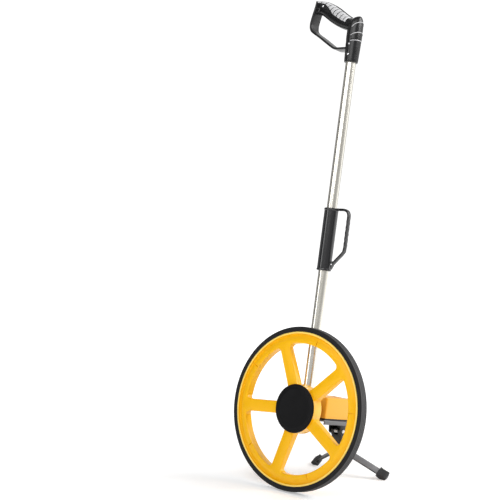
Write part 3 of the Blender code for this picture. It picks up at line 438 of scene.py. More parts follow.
def box_outline(low_a, low_b, high_a, high_b):
    """Square-cornered rectangle outline."""
    return [(low_a, low_b), (high_a, low_b), (high_a, high_b), (low_a, high_b)]


def inset(outline, distance):
    """Outline moved inwards by a distance."""
    count = len(outline)
    area = sum(outline[i - 1][0] * outline[i][1] - outline[i][0] * outline[i - 1][1]
               for i in range(count))
    sign = 1 if area > 0 else -1
    moved = []
    for index, point in enumerate(outline):
        here = Vector(point)
        into = here - Vector(outline[index - 1])
        out = Vector(outline[(index + 1) % count]) - here
        into.normalize()
        out.normalize()
        normal = Vector((-into.y - out.y, into.x + out.x)) * sign
        if normal.length < 1e-6:
            normal = Vector((-into.y, into.x)) * sign
        normal.normalize()
        stretch = max(normal.dot(Vector((-into.y, into.x)) * sign), 0.6)
        moved.append((point[0] + normal.x * distance / stretch, point[1] + normal.y * distance / stretch))
    return moved


def slab(outline, low, high, axes, roll=0.6, steps=3, roll_low=None, name="slab"):
    """Plate with a given outline and rounded-over edges."""
    origin, first, second, depth = AXES[axes] if isinstance(axes, str) else axes
    rows = []
    low_roll = roll if roll_low is None else roll_low
    for radius, level, side in ((low_roll, low, 1), (roll, high, -1)):
        marks = range(steps + 1) if side > 0 else range(steps, -1, -1)
        if radius <= 0:
            rows.append((0, level))
            continue
        for step in marks:
            angle = 0.5 * pi * step / steps
            rise = radius * (1 - cos(angle))
            rows.append((radius * (1 - sin(angle)), level + side * rise))
    rings = []
    for shrink, level in rows:
        edge = inset(outline, shrink) if shrink > 0 else outline
        rings.append([origin + first * a + second * b + depth * level for a, b in edge])
    return swept(rings, name)


def smooth_path(points, per_span):
    """Catmull-Rom curve through points."""
    ends = [Vector(points[0]) * 2 - Vector(points[1])]
    ends += [Vector(point) for point in points]
    ends.append(Vector(points[-1]) * 2 - Vector(points[-2]))
    curve = []
    for index in range(1, len(ends) - 2):
        a, b, c, d = ends[index - 1:index + 3]
        for step in range(per_span):
            t = step / per_span
            curve.append(0.5 * ((b * 2) + (c - a) * t + (a * 2 - b * 5 + c * 4 - d) * t * t
                                + (b * 3 - a - c * 3 + d) * t * t * t))
    curve.append(ends[-2].copy())
    return curve


def swept(rings, name="swept"):
    """Closed body through rings of equal count, capped at both ends."""
    count = len(rings[0])
    vertices = [point for ring in rings for point in ring]
    faces = ring_faces(len(rings), count)
    faces.append(tuple(range(count - 1, -1, -1)))
    faces.append(tuple((len(rings) - 1) * count + step for step in range(count)))
    return make(name, vertices, faces)


def band(path, half_thick, half_wide, ripple=None, per_span=5, edge=1.4, name="band"):
    """Strap bent along a path in the x z plane, centred on the pole, with rounded edges."""
    curve = smooth_path(path, per_span)
    section = rectangle(-half_thick, -half_wide, half_thick, half_wide, edge, 4)
    rings = []
    travelled = 0
    for index, point in enumerate(curve):
        before = curve[max(index - 1, 0)]
        after = curve[min(index + 1, len(curve) - 1)]
        travelled += (point - before).length
        along = (after - before).normalized()
        normal = Vector((-along.y, along.x))
        ring = []
        for offset, across in section:
            push = offset
            if ripple:
                push += ripple(travelled, across) * (1 if offset > 0 else -1)
            ring.append(Vector((point.x + normal.x * push, POLE_Y + across,
                                point.y + normal.y * push)))
        rings.append(ring)
    return swept(rings, name)


def tube_along(points, radius, sides=10):
    """Round wire following points."""
    rings = []
    count = len(points)
    for index, point in enumerate(points):
        before = points[max(index - 1, 0)]
        after = points[min(index + 1, count - 1)]
        along = (after - before).normalized()
        side = along.cross(Z_WAY)
        if side.length < 0.2:
            side = along.cross(Y_WAY)
        side.normalize()
        lift = side.cross(along)
        rings.append([point + side * (radius * cos(turn)) + lift * (radius * sin(turn))
                      for turn in turns_round(sides)])
    return swept(rings, "wire")


def pan_head(name, body, node, axis, centre, seat, height, radius, shank_end, shank,
             look="bright_steel"):
    """Domed screw head with a cross recess, and its plain shank. Height is signed from the seat."""
    rows = [(0, shank_end), (shank, shank_end), (shank, seat), (radius, seat)]
    for step in range(1, 7):
        angle = 0.5 * pi * step / 6
        rows.append((radius * cos(angle) ** 0.7, seat + height * (0.25 + 0.75 * sin(angle))))
    rows[-1] = (0, seat + height)
    made = lathe(rows, axis, centre, 32)
    arm = 0.62 * radius
    wide = 0.17 * radius
    top = seat + height * 1.2
    floor = seat + height * 0.35
    low, high = min(top, floor), max(top, floor)
    for reach_a, reach_b in ((arm, wide), (wide, arm)):
        cross = box_outline(centre[0] - reach_a, centre[1] - reach_b,
                            centre[0] + reach_a, centre[1] + reach_b)
        cut(made, slab(cross, low, high, axis, 0))
    made.name = name
    return finish(made, body, "bright_steel", (node,), look)


# ---- wheel


def build_tyre():
    """Rubber band with rounded shoulders, fine tread grooves and a moulded sidewall line."""
    sidewall = [(147.6, 3.6), (149.25, 3.1), (149.25, 0.9), (149.6, 0.3), (150.2, 0.1), (151.6, 0.1),
                (151.9, 0.35), (152.3, 0.35), (152.6, 0.1), (156.6, 0.1), (157.6, 0.3), (158.4, 0.85),
                (158.9, 1.7), (159, 2.6)]
    profile = list(sidewall)
    for groove in (4.6, 9, 13.4):
        profile += [(159, groove - 0.55), (158.6, groove - 0.3),
                    (158.6, groove + 0.3), (159, groove + 0.55)]
    profile += [(radius, TYRE_WIDTH - depth) for radius, depth in reversed(sidewall)]
    made = lathe(profile, "Y", segments=STEPS_ROUND, name="tyre_band")
    finish(made, "road_wheel", "tyre_rubber", ("tyre",))
    # The running face gets the lighter grey rubber: painted sheen
    repaint(made, "tread_rubber", lambda polygon: abs(polygon.normal.dot(ROW_AXLE)) < 0.72)


def window_points():
    """Half the edge of a window between spokes, from the middle of its outer arc to the middle
    of its inner arc: (point, direction into the material, share from rim 0 to hub 1)."""
    half_pitch = pi / SPOKE_COUNT
    along = heading(half_pitch)
    toward = Vector((sin(half_pitch), -cos(half_pitch)))
    outer_round = 7.5
    inner_round = 3.5
    reach = SPOKE_HALF + outer_round
    outer = along * sqrt((RIM_EDGE - outer_round) ** 2 - reach ** 2) + toward * reach
    reach = SPOKE_HALF + inner_round
    inner = along * sqrt((HUB_EDGE + inner_round) ** 2 - reach ** 2) + toward * reach
    outer_angle = atan2(outer.y, outer.x)
    inner_angle = atan2(inner.y, inner.x)
    rows = []
    for step in range(18):
        way = heading(outer_angle * step / 18)
        rows.append((way * RIM_EDGE, way, 0))
    turn = outer.normalized().angle(-toward)
    for step in range(13):
        way = heading(outer_angle + turn * step / 12)
        rows.append((outer + way * outer_round, way, 0.5 * step / 12))
    first = outer - toward * outer_round
    last = inner - toward * inner_round
    for step in range(1, 11):
        share = step / 11
        rows.append((first.lerp(last, share), -toward, 0.5 + 0.35 * share))
    turn = (-toward).angle(-inner.normalized())
    base = atan2(-toward.y, -toward.x)
    for step in range(7):
        way = heading(base + turn * step / 6)
        rows.append((inner + way * inner_round, way, 0.85 + 0.15 * step / 6))
    for step in range(1, 6):
        way = heading(inner_angle * (1 - step / 5))
        rows.append((way * HUB_EDGE, -way, 1))
    return rows


def boundary_points(count_outer, count_side, count_inner, outer_radius, inner_radius):
    """Matching half boundary of the sector: rim arc, spoke centre line, hub arc."""
    half_pitch = pi / SPOKE_COUNT
    along = heading(half_pitch)
    points = [heading(half_pitch * step / count_outer) * outer_radius for step in range(count_outer)]
    for step in range(count_side):
        share = step / count_side
        points.append(along * (outer_radius + (inner_radius - outer_radius) * share))
    for step in range(count_inner + 1):
        points.append(heading(half_pitch * (1 - step / count_inner)) * inner_radius)
    return points


def ramp(value, low, high, start, end):
    """Straight-line change between two values, held outside the range."""
    share = min(max((value - low) / (high - low), 0), 1)
    return start + (end - start) * share


def window_rings(web_radius, root_radius, rim_steps, side_steps):
    """Rings of (point, depth) along half a window, from the middle of the web in front of it,
    over its rolled edge, down its wall and back to the middle of the web behind."""
    edge = window_points()
    hub_steps = len(edge) - 1 - rim_steps - side_steps
    border = boundary_points(rim_steps, side_steps, hub_steps, web_radius, root_radius)
    rim_front = 0.5
    rim_back = 17.8
    web_thick = 3.6
    rim_thicker = 0.9

    def spoke_front(distance):
        return ramp(distance, 60, 120, 4.2, 0.9)

    rings = [[] for _ in range(14)]
    for (point, way, share), border_point in zip(edge, border):
        rim_part = ramp(share, 0, 0.35, 1, 0)
        hub_part = ramp(share, 0.86, 0.97, 0, 1)
        front = spoke_front(point.length) * (1 - rim_part) + rim_front * rim_part
        back = ramp(point.length, 50, 122, 20.4, 13) * (1 - rim_part) + rim_back * rim_part
        roll = (2.6 * (1 - rim_part) + 2.2 * rim_part) * (1 - hub_part) + 0.8 * hub_part
        wall = 3 * (1 - hub_part) + 0.9 * hub_part
        floor = front + web_thick + rim_thicker * rim_part
        border_rim = ramp(border_point.length, 118, web_radius - 0.5, 0, 1)
        border_front = spoke_front(border_point.length) * (1 - border_rim) + rim_front * border_rim
        border_floor = border_front + web_thick + rim_thicker * border_rim
        crown = 1.1 * (1 - border_rim)
        levels = [(border_point, border_front - crown)]
        for step in range(6):
            angle = 0.5 * pi * step / 5
            levels.append((point + way * (roll * (1 - sin(angle))), front + roll * (1 - cos(angle))))
        levels.append((point, back - 0.5))
        for inward, depth in ((0.15, back - 0.12), (0.3, back), (0.8, back), (0.95, back - 0.4),
                              (1.15, floor)):
            levels.append((point + way * inward * wall, depth))
        levels.append((border_point, border_floor))
        for ring, level in zip(rings, levels):
            ring.append(level)
    return rings


def build_wheel():
    """Moulded wheel: rolled spokes with hollow backs, channel rim with lip, hub drum."""
    web_radius = 133
    rim_steps = 24
    side_steps = 19
    rings = window_rings(web_radius, 44.8, rim_steps, side_steps)
    count = 2 * (len(rings[0]) - 1)
    vertices = []
    faces = []
    for sector in range(SPOKE_COUNT):
        turn = radians(FIRST_WINDOW_DEG + sector * WINDOW_PITCH_DEG)
        base = len(vertices)
        for ring in rings:
            whole = [(point.x, point.y, depth) for point, depth in ring]
            whole += [(point.x, -point.y, depth) for point, depth in ring[-2:0:-1]]
            for x, z, depth in whole:
                vertices.append((x * cos(turn) - z * sin(turn), depth,
                                 x * sin(turn) + z * cos(turn)))
        for face in ring_faces(len(rings), count):
            faces.append(tuple(base + corner for corner in face))
        inner_first = rim_steps + side_steps
        final = base + (len(rings) - 1) * count
        for step in range(inner_first, count - inner_first):
            faces.append((base + step, base + step + 1, final + step + 1, final + step))
    front_edge = rings[0][0][1]
    back_edge = rings[-1][0][1]
    rim_profile = [
        (web_radius, front_edge), (134.6, 0.9), (137.4, 2.1), (140.2, 3.4), (142.4, 4.4), (143.6, 4.7),
        (144.3, 4.4), (144.8, 3.6), (145.2, 1.2), (145.6, 0.4), (146.3, 0), (147.8, 0), (148.6, 0.3),
        (149, 0.9), (149, 2.6), (147.3, 3.3), (147.3, 14.7), (149, 15.4), (149, 17.3),
        (148.6, 17.8), (144.6, 17.8), (144.2, 17.4), (143.9, 7.8), (143.2, 7.3), (138, 5.9),
        (web_radius, back_edge),
    ]
    base = len(vertices)
    start = radians(FIRST_WINDOW_DEG)
    for radius, depth in rim_profile:
        for step in range(STEPS_ROUND):
            angle = start + 2 * pi * step / STEPS_ROUND
            vertices.append((radius * cos(angle), depth, radius * sin(angle)))
    for face in ring_faces(len(rim_profile), STEPS_ROUND):
        faces.append(tuple(base + corner for corner in face))
    wheel = make("wheel_moulding", vertices, faces)
    mend(wheel.data, merge=0.01)

    hub_profile = [
        (4.3, 7), (11.8, 7), (12.5, 7.7), (13, 9), (14.2, 9.5), (42.4, 9.5), (43.8, 9),
        (44, 8.4), (44, 0.6), (44.3, 0.3), (46.6, 0.3), (47, 0.7), (48.3, 21.6), (47.9, 22.2),
        (44.9, 22.2), (44.5, 21.8), (43.8, 13.4), (42.6, 12.5), (14.2, 12.5), (13, 13.2), (12.5, 18.9),
        (11.9, 19.5), (4.3, 19.5),
    ]
    hub = lathe(hub_profile, "Y", segments=120)
    ribs = []
    for number in range(10):
        turned = spoke_axes(FIRST_WINDOW_DEG + 0.5 * WINDOW_PITCH_DEG * number)
        ribs.append(slab(rectangle(12.6, -1, 44.6, 1, 0.3, 2), 12, 17.5, turned, 0.3, 2))
        ribs.append(slab(rectangle(129, -0.9, 144.3, 0.9, 0.3, 2), 5.2, 14.5, turned, 0.3, 2))
    fuse(wheel, hub)
    fuse(wheel, joined(*ribs))
    grooves = []
    for number in range(SPOKE_COUNT):
        turned = spoke_axes(FIRST_WINDOW_DEG + WINDOW_PITCH_DEG * number)
        grooves.append(slab(box_outline(127, -0.8, 142.6, 0.8), -2, 3.4, turned, 0))
    cut(wheel, joined(*grooves))
    finish(wheel, "road_wheel", "yellow_plastic", ("wheel",), sharp_deg=38)
    to_drawing = TO_ROW.inverted()

    def on_front_lip(polygon):
        middle = to_drawing @ polygon.center
        return hypot(middle.x, middle.z) > 145.5 and middle.y < 0.7

    def on_wall(polygon):
        return polygon.material_index == 0 and abs(polygon.normal.dot(ROW_AXLE)) < 0.35

    # The front lip gets the paler yellow: painted highlight
    repaint(wheel, "yellow_edge", on_front_lip)
    # Walls across the axle get the paler, glossier copy of the yellow plastic: painted sheen
    repaint(wheel, "yellow_wall", on_wall)


def build_hub_cap():
    """Black cap, slightly dished, with a fine groove near its rolled edge."""
    profile = [
        (0, -1.6), (10, -1.62), (24, -1.78), (36, -2.15),
        (40.6, -2.5), (41, -2.3), (41.6, -2.3), (42, -2.6), (44.4, -2.6), (45.8, -2.3), (46.7, -1.6),
        (47.2, -0.6), (47.2, -0.05), (43.4, -0.05), (43.4, 3.4), (43.1, 3.6), (42, 3.6), (41.8, 3.4),
        (41.6, -0.2), (0, -0.2),
    ]
    made = lathe(profile, "Y", segments=128, name="hub_cover")
    finish(made, "road_wheel", "black_plastic", ("hub_cap",), look="cap_plastic")


# ---- pole


def build_pole():
    """Tubes with eased ends, the cast foot with its spigot, and the rivet through both."""
    for name, node, body, low, high in (("tube_lower", "lower_tube", "frame", 14.3, 275.5),
                                        ("tube_upper", "upper_tube", "upper_pole", 304.5, 742)):
        profile = [(TUBE_BORE, low + 0.3), (TUBE_BORE + 0.3, low), (TUBE_RADIUS - 0.3, low),
                   (TUBE_RADIUS, low + 0.3), (TUBE_RADIUS, high - 0.3), (TUBE_RADIUS - 0.3, high),
                   (TUBE_BORE + 0.3, high), (TUBE_BORE, high - 0.3)]
        made = lathe(profile, "Z", (0, POLE_Y), 96, name)
        if node == "lower_tube":
            cut(made, rod(2.3, -12, 12, "X", (POLE_Y, 34), 32))
        finish(made, body, "satin_tube", (node,))
    outline = rectangle(-17, 22.9, 17, 50, 4.5, 6)
    foot = slab(outline, -24.6, 14, "Z", 1.8, 4, name="foot_casting")
    fuse(foot, rod(9, 13, 52, "Z", (0, POLE_Y), 64, 0.4))
    cut(foot, rod(6.3, 20, 53, "Y", segments=64), rod(2.3, -12, 12, "X", (POLE_Y, 34), 32))
    relief = slab(rectangle(-14, 26, 14, 47, 3), -26, -23.4, "Z", 0.4, 2)
    cut(foot, relief)
    for x in (-12.5, 12.5):
        cut(foot, rod(2.5, 37, 53, "Y", (x, -9), 32))
    finish(foot, "frame", "cast_aluminium", ("pole_foot",))
    rivet = both_ends([(0, -12.2), (1.6, -12.1), (2.8, -11.6), (3.4, -11), (3.6, -10.7), (2, -10.7)])
    made = lathe(rivet, "X", (POLE_Y, 34), 32, "foot_rivet_round")
    finish(made, "frame", "bright_steel", ("foot_rivet",))


LOOP_PATH = [(11.5, 395), (24, 395), (33, 394.9), (40.2, 392.4), (44.3, 386), (44.9, 376),
             (44.9, 347), (44.8, 318), (41, 309), (30, 297.5), (20, 287), (11.5, 278.5)]


def build_sleeve():
    """Locking sleeve with lipped ends and the moulded carrying loop."""
    foot, top = 273, 397
    profile = [(11.8, foot + 0.4), (12.2, foot), (14.1, foot), (14.6, foot + 0.4), (14.7, foot + 1),
               (14.7, foot + 3.4), (14.4, foot + 4), (14, foot + 4.6), (14, top - 4.6),
               (14.4, top - 4), (14.7, top - 3.4), (14.7, top - 1), (14.6, top - 0.4), (14.1, top),
               (11, top), (10.65, top - 0.4), (10.65, top - 14), (11.8, top - 16)]
    sleeve = lathe(profile, "Z", (0, POLE_Y), 96, "sleeve_moulding")

    def finger_ribs(travelled, across):
        held = ramp(travelled, 42, 52, 0, 1) * ramp(travelled, 104, 116, 1, 0)
        return 0.45 * held * sin(2 * pi * (travelled / 11 + across / 9))

    loop = band(LOOP_PATH, 2.55, 3.6, finger_ribs, 7, 1, "loop")
    cut(loop, rod(12.6, foot - 5, top + 5, "Z", (0, POLE_Y), 96))
    fuse(sleeve, loop)
    gusset = filleted([(12.8, 274.4, 0.9), (17.5, 277, 2), (22, 286, 1.4),
                       (19.6, 291, 1.4), (12.8, 296, 0.9)])
    fuse(sleeve, slab(gusset, POLE_Y - 3.9, POLE_Y + 3.9, "Y", 0.6))
    cut(sleeve, rod(1.5, POLE_Y - 6, POLE_Y + 6, "Y", (19.4, 286.4), 24))
    finish(sleeve, "sleeve", "black_plastic", ("lock_sleeve",), look="sleeve_plastic")
    pan_head("sleeve_screw_head", "sleeve", "sleeve_screw", "Y", (19.4, 286.4), POLE_Y - 3.95,
             -0.9, 1.9, POLE_Y + 3, 1.2)


# ---- handle

GRIP_STATIONS = [(3, 762, 10), (-9, 766.6, 11.4), (-20, 770.8, 12.6), (-30, 775.4, 13.6),
                 (-40, 780.9, 14.5), (-50, 786.8, 15), (-60, 792.8, 14.8), (-70, 798.8, 14.2),
                 (-79, 803.4, 13.6), (-87, 806.1, 13.3), (-95.5, 807.7, 13.1)]

GUARD_PATH = [(-97.6, 820), (-99.6, 808), (-103, 794), (-106, 780), (-106.8, 771),
              (-104.8, 762), (-98, 755.2), (-79, 744), (-59, 731.2), (-42, 720.8),
              (-34, 718.6), (-20, 718.3), (-5, 718.2)]


def grip_curve(per_span):
    """Centre, upward direction and half thickness along the grip, smoothly joined."""
    curve = smooth_path(GRIP_STATIONS, per_span)
    rows = []
    for index, here in enumerate(curve):
        before = curve[max(index - 1, 0)]
        after = curve[min(index + 1, len(curve) - 1)]
        along = Vector((after.x - before.x, after.y - before.y)).normalized()
        upward = Vector((along.y, -along.x))
        if upward.y < 0:
            upward = -upward
        rows.append((Vector((here.x, here.y)), upward, here.z))
    return rows


def grip_point(row, angle, outset):
    """Point on the grip's rounded section, the angle measured from its top."""
    centre, upward, half = row
    power = 2 / 2.6
    across = copysign(abs(sin(angle)) ** power, sin(angle))
    lift = copysign(abs(cos(angle)) ** power, cos(angle))
    point = centre + upward * ((half + outset) * lift)
    return Vector((point.x, POLE_Y + (14.5 + outset) * across, point.y))


def grip_loft(sides=64):
    """Closed body along the whole grip."""
    turns = turns_round(sides, 0.5)
    return swept([[grip_point(row, turn, 0) for turn in turns] for row in grip_curve(4)], "grip")


def build_handle():
    """Socket and grip in two shells with a fine seam, raised beads round the socket, and screws."""
    profile = [
        (0, 690), (12.8, 690), (13.4, 690.5), (13.8, 691.6), (14.1, 697), (14.5, 706),
        (15, 718), (15.3, 728), (15.3, 734.4), (15.8, 736.6), (15.9, 744), (15.8, 753),
        (15.3, 763), (14.2, 770.5), (12.2, 776), (9, 780.4), (5, 783.2), (2, 784.1), (0, 784.2),
    ]
    body = lathe(profile, "Z", (0, POLE_Y), 96, "handle")
    for vertex in body.data.vertices:
        if vertex.co.z > 753:
            across = hypot(vertex.co.x, vertex.co.y - POLE_Y)
            vertex.co.x += 0.58 * max(0, 15.8 - across)
    fuse(body, grip_loft())
    evaluated(body, ("REMESH", {"mode": "VOXEL", "voxel_size": 0.75}),
              ("SMOOTH", {"factor": 0.5, "iterations": 6}))
    bore = [(0, 680), (10.5, 680), (10.5, 742.4), (0, 742.4)]
    cut(body, lathe(bore, "Z", (0, POLE_Y), 64))
    far = placed("handle_back", body.data.copy())
    body.name = "handle_front"
    side = box_outline(-200, 600, 100, 900)
    for shell, node, low, high in (
            (body, "handle_shell_front", POLE_Y - SPLIT_HALF_GAP, 120),
            (far, "handle_shell_back", -120, POLE_Y + SPLIT_HALF_GAP)):
        cut(shell, slab(side, low, high, "Y", 0))
        finish(shell, "upper_pole", "black_plastic", (node,), look="handle_plastic", sharp_deg=45)

    ribs = []
    for height, rise, radius in ((759.5, 12, 15.45), (742.6, 8, 15.9), (731.4, 3, 15.3)):
        points = []
        for step in range(61):
            share = step / 60
            inward = min(share, 1 - share)
            turn = radians(8 + 164 * share)
            lift = rise * sin(pi * inward) ** 0.8
            depth = radius + 0.15 - 0.9 * max(0, 1 - inward / 0.05)
            points.append(Vector((depth * sin(turn), POLE_Y - depth * cos(turn), height + lift)))
        ribs.append(tube_along(points, 0.65))
    made = joined(*ribs)
    made.name = "socket_ribs"
    # The raised beads are light grey on the black socket: painted highlight along each rib
    finish(made, "upper_pole", "grey_rubber", sharp_deg=60)

    for node, spot, outward, end, look in (
            ("handle_screw_lower", (1, 705), 14.55, -8, "bright_steel"),
            ("handle_screw_upper", (1, 726), 15.3, -8, "bright_steel"),
            ("grip_screw_inner", (-79, 807.6), 14.3, 9, "bright_steel"),
            ("grip_screw_outer", (-91, 802.5), 14.3, 9, "black_steel")):
        pan_head(node + "_head", "upper_pole", node, "Y", spot, POLE_Y - outward, -1.3, 2.2,
                 POLE_Y + end, 1.4, look)
    boss = [(3.2, 14), (3.2, 15.7), (3.6, 16.1), (5.2, 16.1), (6, 15.7), (6.4, 14.8), (6.4, 14)]
    boss = [(radius, POLE_Y - outward) for radius, outward in boss]
    ring = lathe(boss, "Y", (-91, 800.5), 48, "grip_end_boss")
    finish(ring, "upper_pole", "black_plastic", look="handle_plastic")


def build_pad():
    """Soft pad over the grip in short ribbed segments, with the shells' seam along its top."""
    per_span = 20
    rows = grip_curve(per_span)[2 * per_span - 5:]
    onward = (rows[-1][0] - rows[-2][0]).normalized()
    for beyond, narrower in ((2.4, 0.1), (4.6, 0.5), (6, 1.4)):
        rows.append((rows[-1][0] + onward * beyond * 0.5, rows[-1][1], rows[-1][2] - 0.3 * narrower))
    sweep = radians(87)
    count = 49
    rings = []
    dark = []
    travelled = 0
    previous = rows[0][0]
    length = sum((rows[i + 1][0] - rows[i][0]).length for i in range(len(rows) - 1))
    for row in rows:
        travelled += (row[0] - previous).length
        previous = row[0]
        phase = (travelled / 10.6 + 0.45) % 1
        groove = max(0, 1 - (min(phase, 1 - phase) / 0.12) ** 2)
        dark.append(groove > 0.1)
        end = min(travelled, length - travelled)
        crown = 0.35 + (1.45 - groove) * sqrt(min(end / 1.6, 1))
        reach = sweep * ramp(travelled, 0.42 * length, 0.76 * length, 1, 0.6)
        ring = []
        shares = [-1 + 2 * step / (count - 1) for step in range(count)]
        for share in shares:
            lip = sqrt(max(min((1 - abs(share)) / 0.07, 1), 0))
            ring.append(grip_point(row, reach * share, 0.32 + (crown - 0.3) * lip))
        ring += [grip_point(row, reach * share, -0.4) for share in reversed(shares)]
        rings.append(ring)
    pad = swept(rings, "grip_cover")
    bands = [dark[index // (2 * count)] and dark[index // (2 * count) + 1]
             for index in range((len(rings) - 1) * 2 * count)] + [False, False]
    marked = pad.data.attributes.new("groove", "BOOLEAN", "FACE")
    marked.data.foreach_set("value", bands)
    finish(pad, "upper_pole", "grey_rubber", ("grip_pad",), sharp_deg=50)
    marked = pad.data.attributes["groove"].data
    # Faces in the grooves get the near-black rubber: painted shade
    repaint(pad, "groove_rubber", lambda polygon: marked[polygon.index].value)
    pad.data.attributes.remove(pad.data.attributes["groove"])

    rings = []
    for row in grip_curve(per_span)[2 * per_span - 8:-2]:
        centre, upward, half = row
        top = half + ramp(centre.x, -80, -60, 1, 2)
        ring = []
        for across, lift in ((-1.3, 0), (-1.3, 1.2), (-0.8, 1.75), (0, 1.9), (0.8, 1.75),
                             (1.3, 1.2), (1.3, 0)):
            point = centre + upward * (top - 0.4 + lift)
            ring.append(Vector((point.x, POLE_Y + across, point.y)))
        rings.append(ring)
    seam = swept(rings, "grip_seam")
    finish(seam, "upper_pole", "black_plastic")


def build_guard():
    """Broad strap closing the D of the handle."""
    guard = band(GUARD_PATH, 2.1, 13.4, None, 7, 1.5, "guard_strap")
    cut(guard, rod(15.4, 690, 760, "Z", (0, POLE_Y), 96))
    finish(guard, "upper_pole", "black_plastic", ("hand_guard",), look="handle_plastic",
           sharp_deg=40)


# ---- counter


def build_bracket():
    """Folded steel bracket with its upright flange, and the two screws that hold it."""
    outline = filleted([(-30, -25, 0.6), (-27.6, -25, 0.6), (-27.6, -18.4, 1), (27.6, -18.4, 1),
                        (27.6, -25, 0.6), (30, -25, 0.6), (30, -16, 2.4), (-30, -16, 2.4)], 4)
    bracket = slab(outline, 60, 158, "Y", 0.4, 2, name="bracket_plate")
    bend = filleted([(50.3, 14, 0.6), (50.3, -18.4, 2.4), (61, -18.4, 0), (61, -16, 0),
                     (52.7, -16, 1.2), (52.7, 14, 0.6)], 5)
    fuse(bracket, slab(bend, -17, 17, "X", 0.4, 2))
    cut(bracket, rod(9.6, 48, 56, "Y", segments=64))
    for x in (-12.5, 12.5):
        cut(bracket, rod(2.5, 48, 56, "Y", (x, -9), 32))
    for y in (84, 108):
        cut(bracket, slab(rectangle(-16, y, 16, y + 7, 3.4, 6), -21, -14, "Z", 0))
    finish(bracket, "frame", "grey_steel", ("counter_bracket",))
    for side, x in (("left", -12.5), ("right", 12.5)):
        pan_head("flange_screw_" + side, "frame", "bracket_screw_" + side, "Y", (x, -9), 53,
                 2.8, 4.2, 38, 2.2)


def build_case():
    """Yellow counter cover with a parting line and a framed window, its base, screws and knob."""
    outline = rectangle(-30, 60, 30, 158, 3.2, 6)
    case = slab(outline, -13, 28, "Z", 2.8, 6, 0.3, "counter_cover")
    cut(case, slab(rectangle(-27.8, 62.2, 27.8, 155.8, 1.4, 4), -20, 25.8, "Z", 0.6))
    cut(case, rod(5.2, 55, 65, "Y", segments=48), rod(2.6, 150, 165, "Y", (SHAFT_X, SHAFT_Z), 32))
    rim = slab(rectangle(-21.2, 71.8, 5.2, 140.2, 2.4, 5), 27.2, 28.9, "Z", 0.5, 3)
    fuse(case, rim)
    cut(case, slab(rectangle(-19, 74, 3, 138, 1, 4), 20, 35, "Z", 0))
    parting = slab(rectangle(-31, 59, 31, 159, 3.4, 6), -9.9, -9.4, "Z", 0)
    cut(parting, slab(rectangle(-29.7, 60.3, 29.7, 157.7, 2.8, 6), -12, -8, "Z", 0))
    cut(case, parting)
    finish(case, "frame", "yellow_plastic", ("counter_case",), look="case_plastic", sharp_deg=38)

    window = slab(rectangle(-18.7, 74.3, 2.7, 137.7, 0.9, 4), 26, 28.4, "Z", 0.4, 3,
                  name="reading_window")
    finish(window, "frame", "clear_plastic", ("counter_window",))
    base = slab(rectangle(-29.6, 60.4, 29.6, 157.6, 2.6, 5), -15.7, -13.3, "Z", 0.4, 2,
                name="counter_floor")
    finish(base, "frame", "black_plastic", ("counter_base",))
    for number, spot in enumerate(((-23.5, 71.5), (-23.5, 146.5), (23.5, 71.5), (23.5, 146.5)), 1):
        pan_head("cover_screw_" + str(number), "frame", "case_screw_" + str(number), "Z", spot,
                 -18.75, -2, 3, -5.6, 1.5)

    knurls = 24
    outline = []
    for angle in turns_round(knurls * 4):
        radius = 7.75 + 0.25 * cos(knurls * angle)
        outline.append((SHAFT_X + radius * cos(angle), SHAFT_Z + radius * sin(angle)))
    knob = slab(outline, 158.5, 167, "Y", 0.9, 4, 0.3, "reset_grip")
    cut(knob, rod(2.3, 157, 164, "Y", (SHAFT_X, SHAFT_Z), 32))
    pointer = rectangle(SHAFT_X - 0.5, SHAFT_Z + 1.5, SHAFT_X + 0.5, SHAFT_Z + 6.2, 0.3, 3)
    cut(knob, slab(pointer, 166.4, 168, "Y", 0))
    finish(knob, "reset", "black_plastic", ("reset_knob",))
    shaft = rod(2, 63.4, 163.6, "Y", (SHAFT_X, SHAFT_Z), 32, 0.3)
    shaft.name = "reset_spindle"
    finish(shaft, "reset", "bright_steel", ("reset_shaft",))


def build_drums():
    """Number drums with thin raised figures 0 to 9 round each."""
    glyphs = []
    for figure in range(10):
        curve = bpy.data.curves.new("figure", "FONT")
        curve.body = str(figure)
        curve.size = 11
        curve.align_x = "CENTER"
        curve.align_y = "CENTER"
        curve.resolution_u = 3
        text = placed("figure", curve)
        depsgraph = bpy.context.evaluated_depsgraph_get()
        glyphs.append(bpy.data.meshes.new_from_object(text.evaluated_get(depsgraph)))
        bpy.data.objects.remove(text, do_unlink=True)
    wrap_radius = 13.5
    figure_radius = 13.47
    bodies = ("tenths_drum", "metres_drum", "tens_drum", "hundreds_drum", "thousands_drum")
    for index, body in enumerate(bodies):
        start = 75 + 12 * index
        end = start + 11.2
        profile = [(2.15, start), (11.6, start), (13.1, start + 0.1), (13.4, start + 0.4), (13.4, end - 0.3),
                   (13.1, end), (11.8, end), (11.4, end - 6), (4.6, end - 6), (4.6, end), (2.15, end)]
        slot = "black_plastic" if index == 0 else "white_plastic"
        drum = lathe(profile, "Y", (SHAFT_X, SHAFT_Z), 80, "drum_ring_" + str(index + 1))
        finish(drum, body, slot, ("drum_" + str(index + 1),))
        vertices = []
        faces = []
        for figure in range(10):
            turn = radians(90 + 36 * figure)
            low = len(vertices)
            for vertex in glyphs[figure].vertices:
                angle = turn - vertex.co.x / wrap_radius
                vertices.append((SHAFT_X + figure_radius * cos(angle),
                                 0.5 * (start + end) + vertex.co.y,
                                 SHAFT_Z + figure_radius * sin(angle)))
            for polygon in glyphs[figure].polygons:
                faces.append(tuple(low + corner for corner in polygon.vertices))
        marks = make("figures_" + str(index + 1), vertices, faces)
        finish(marks, body, None, look="white_ink" if index == 0 else "ink")


# ---- stand


def floor_height(y):
    """Height of the floor in the drawing axes."""
    return (y * sin(LEAN) - FLOOR_DROP) / cos(LEAN)


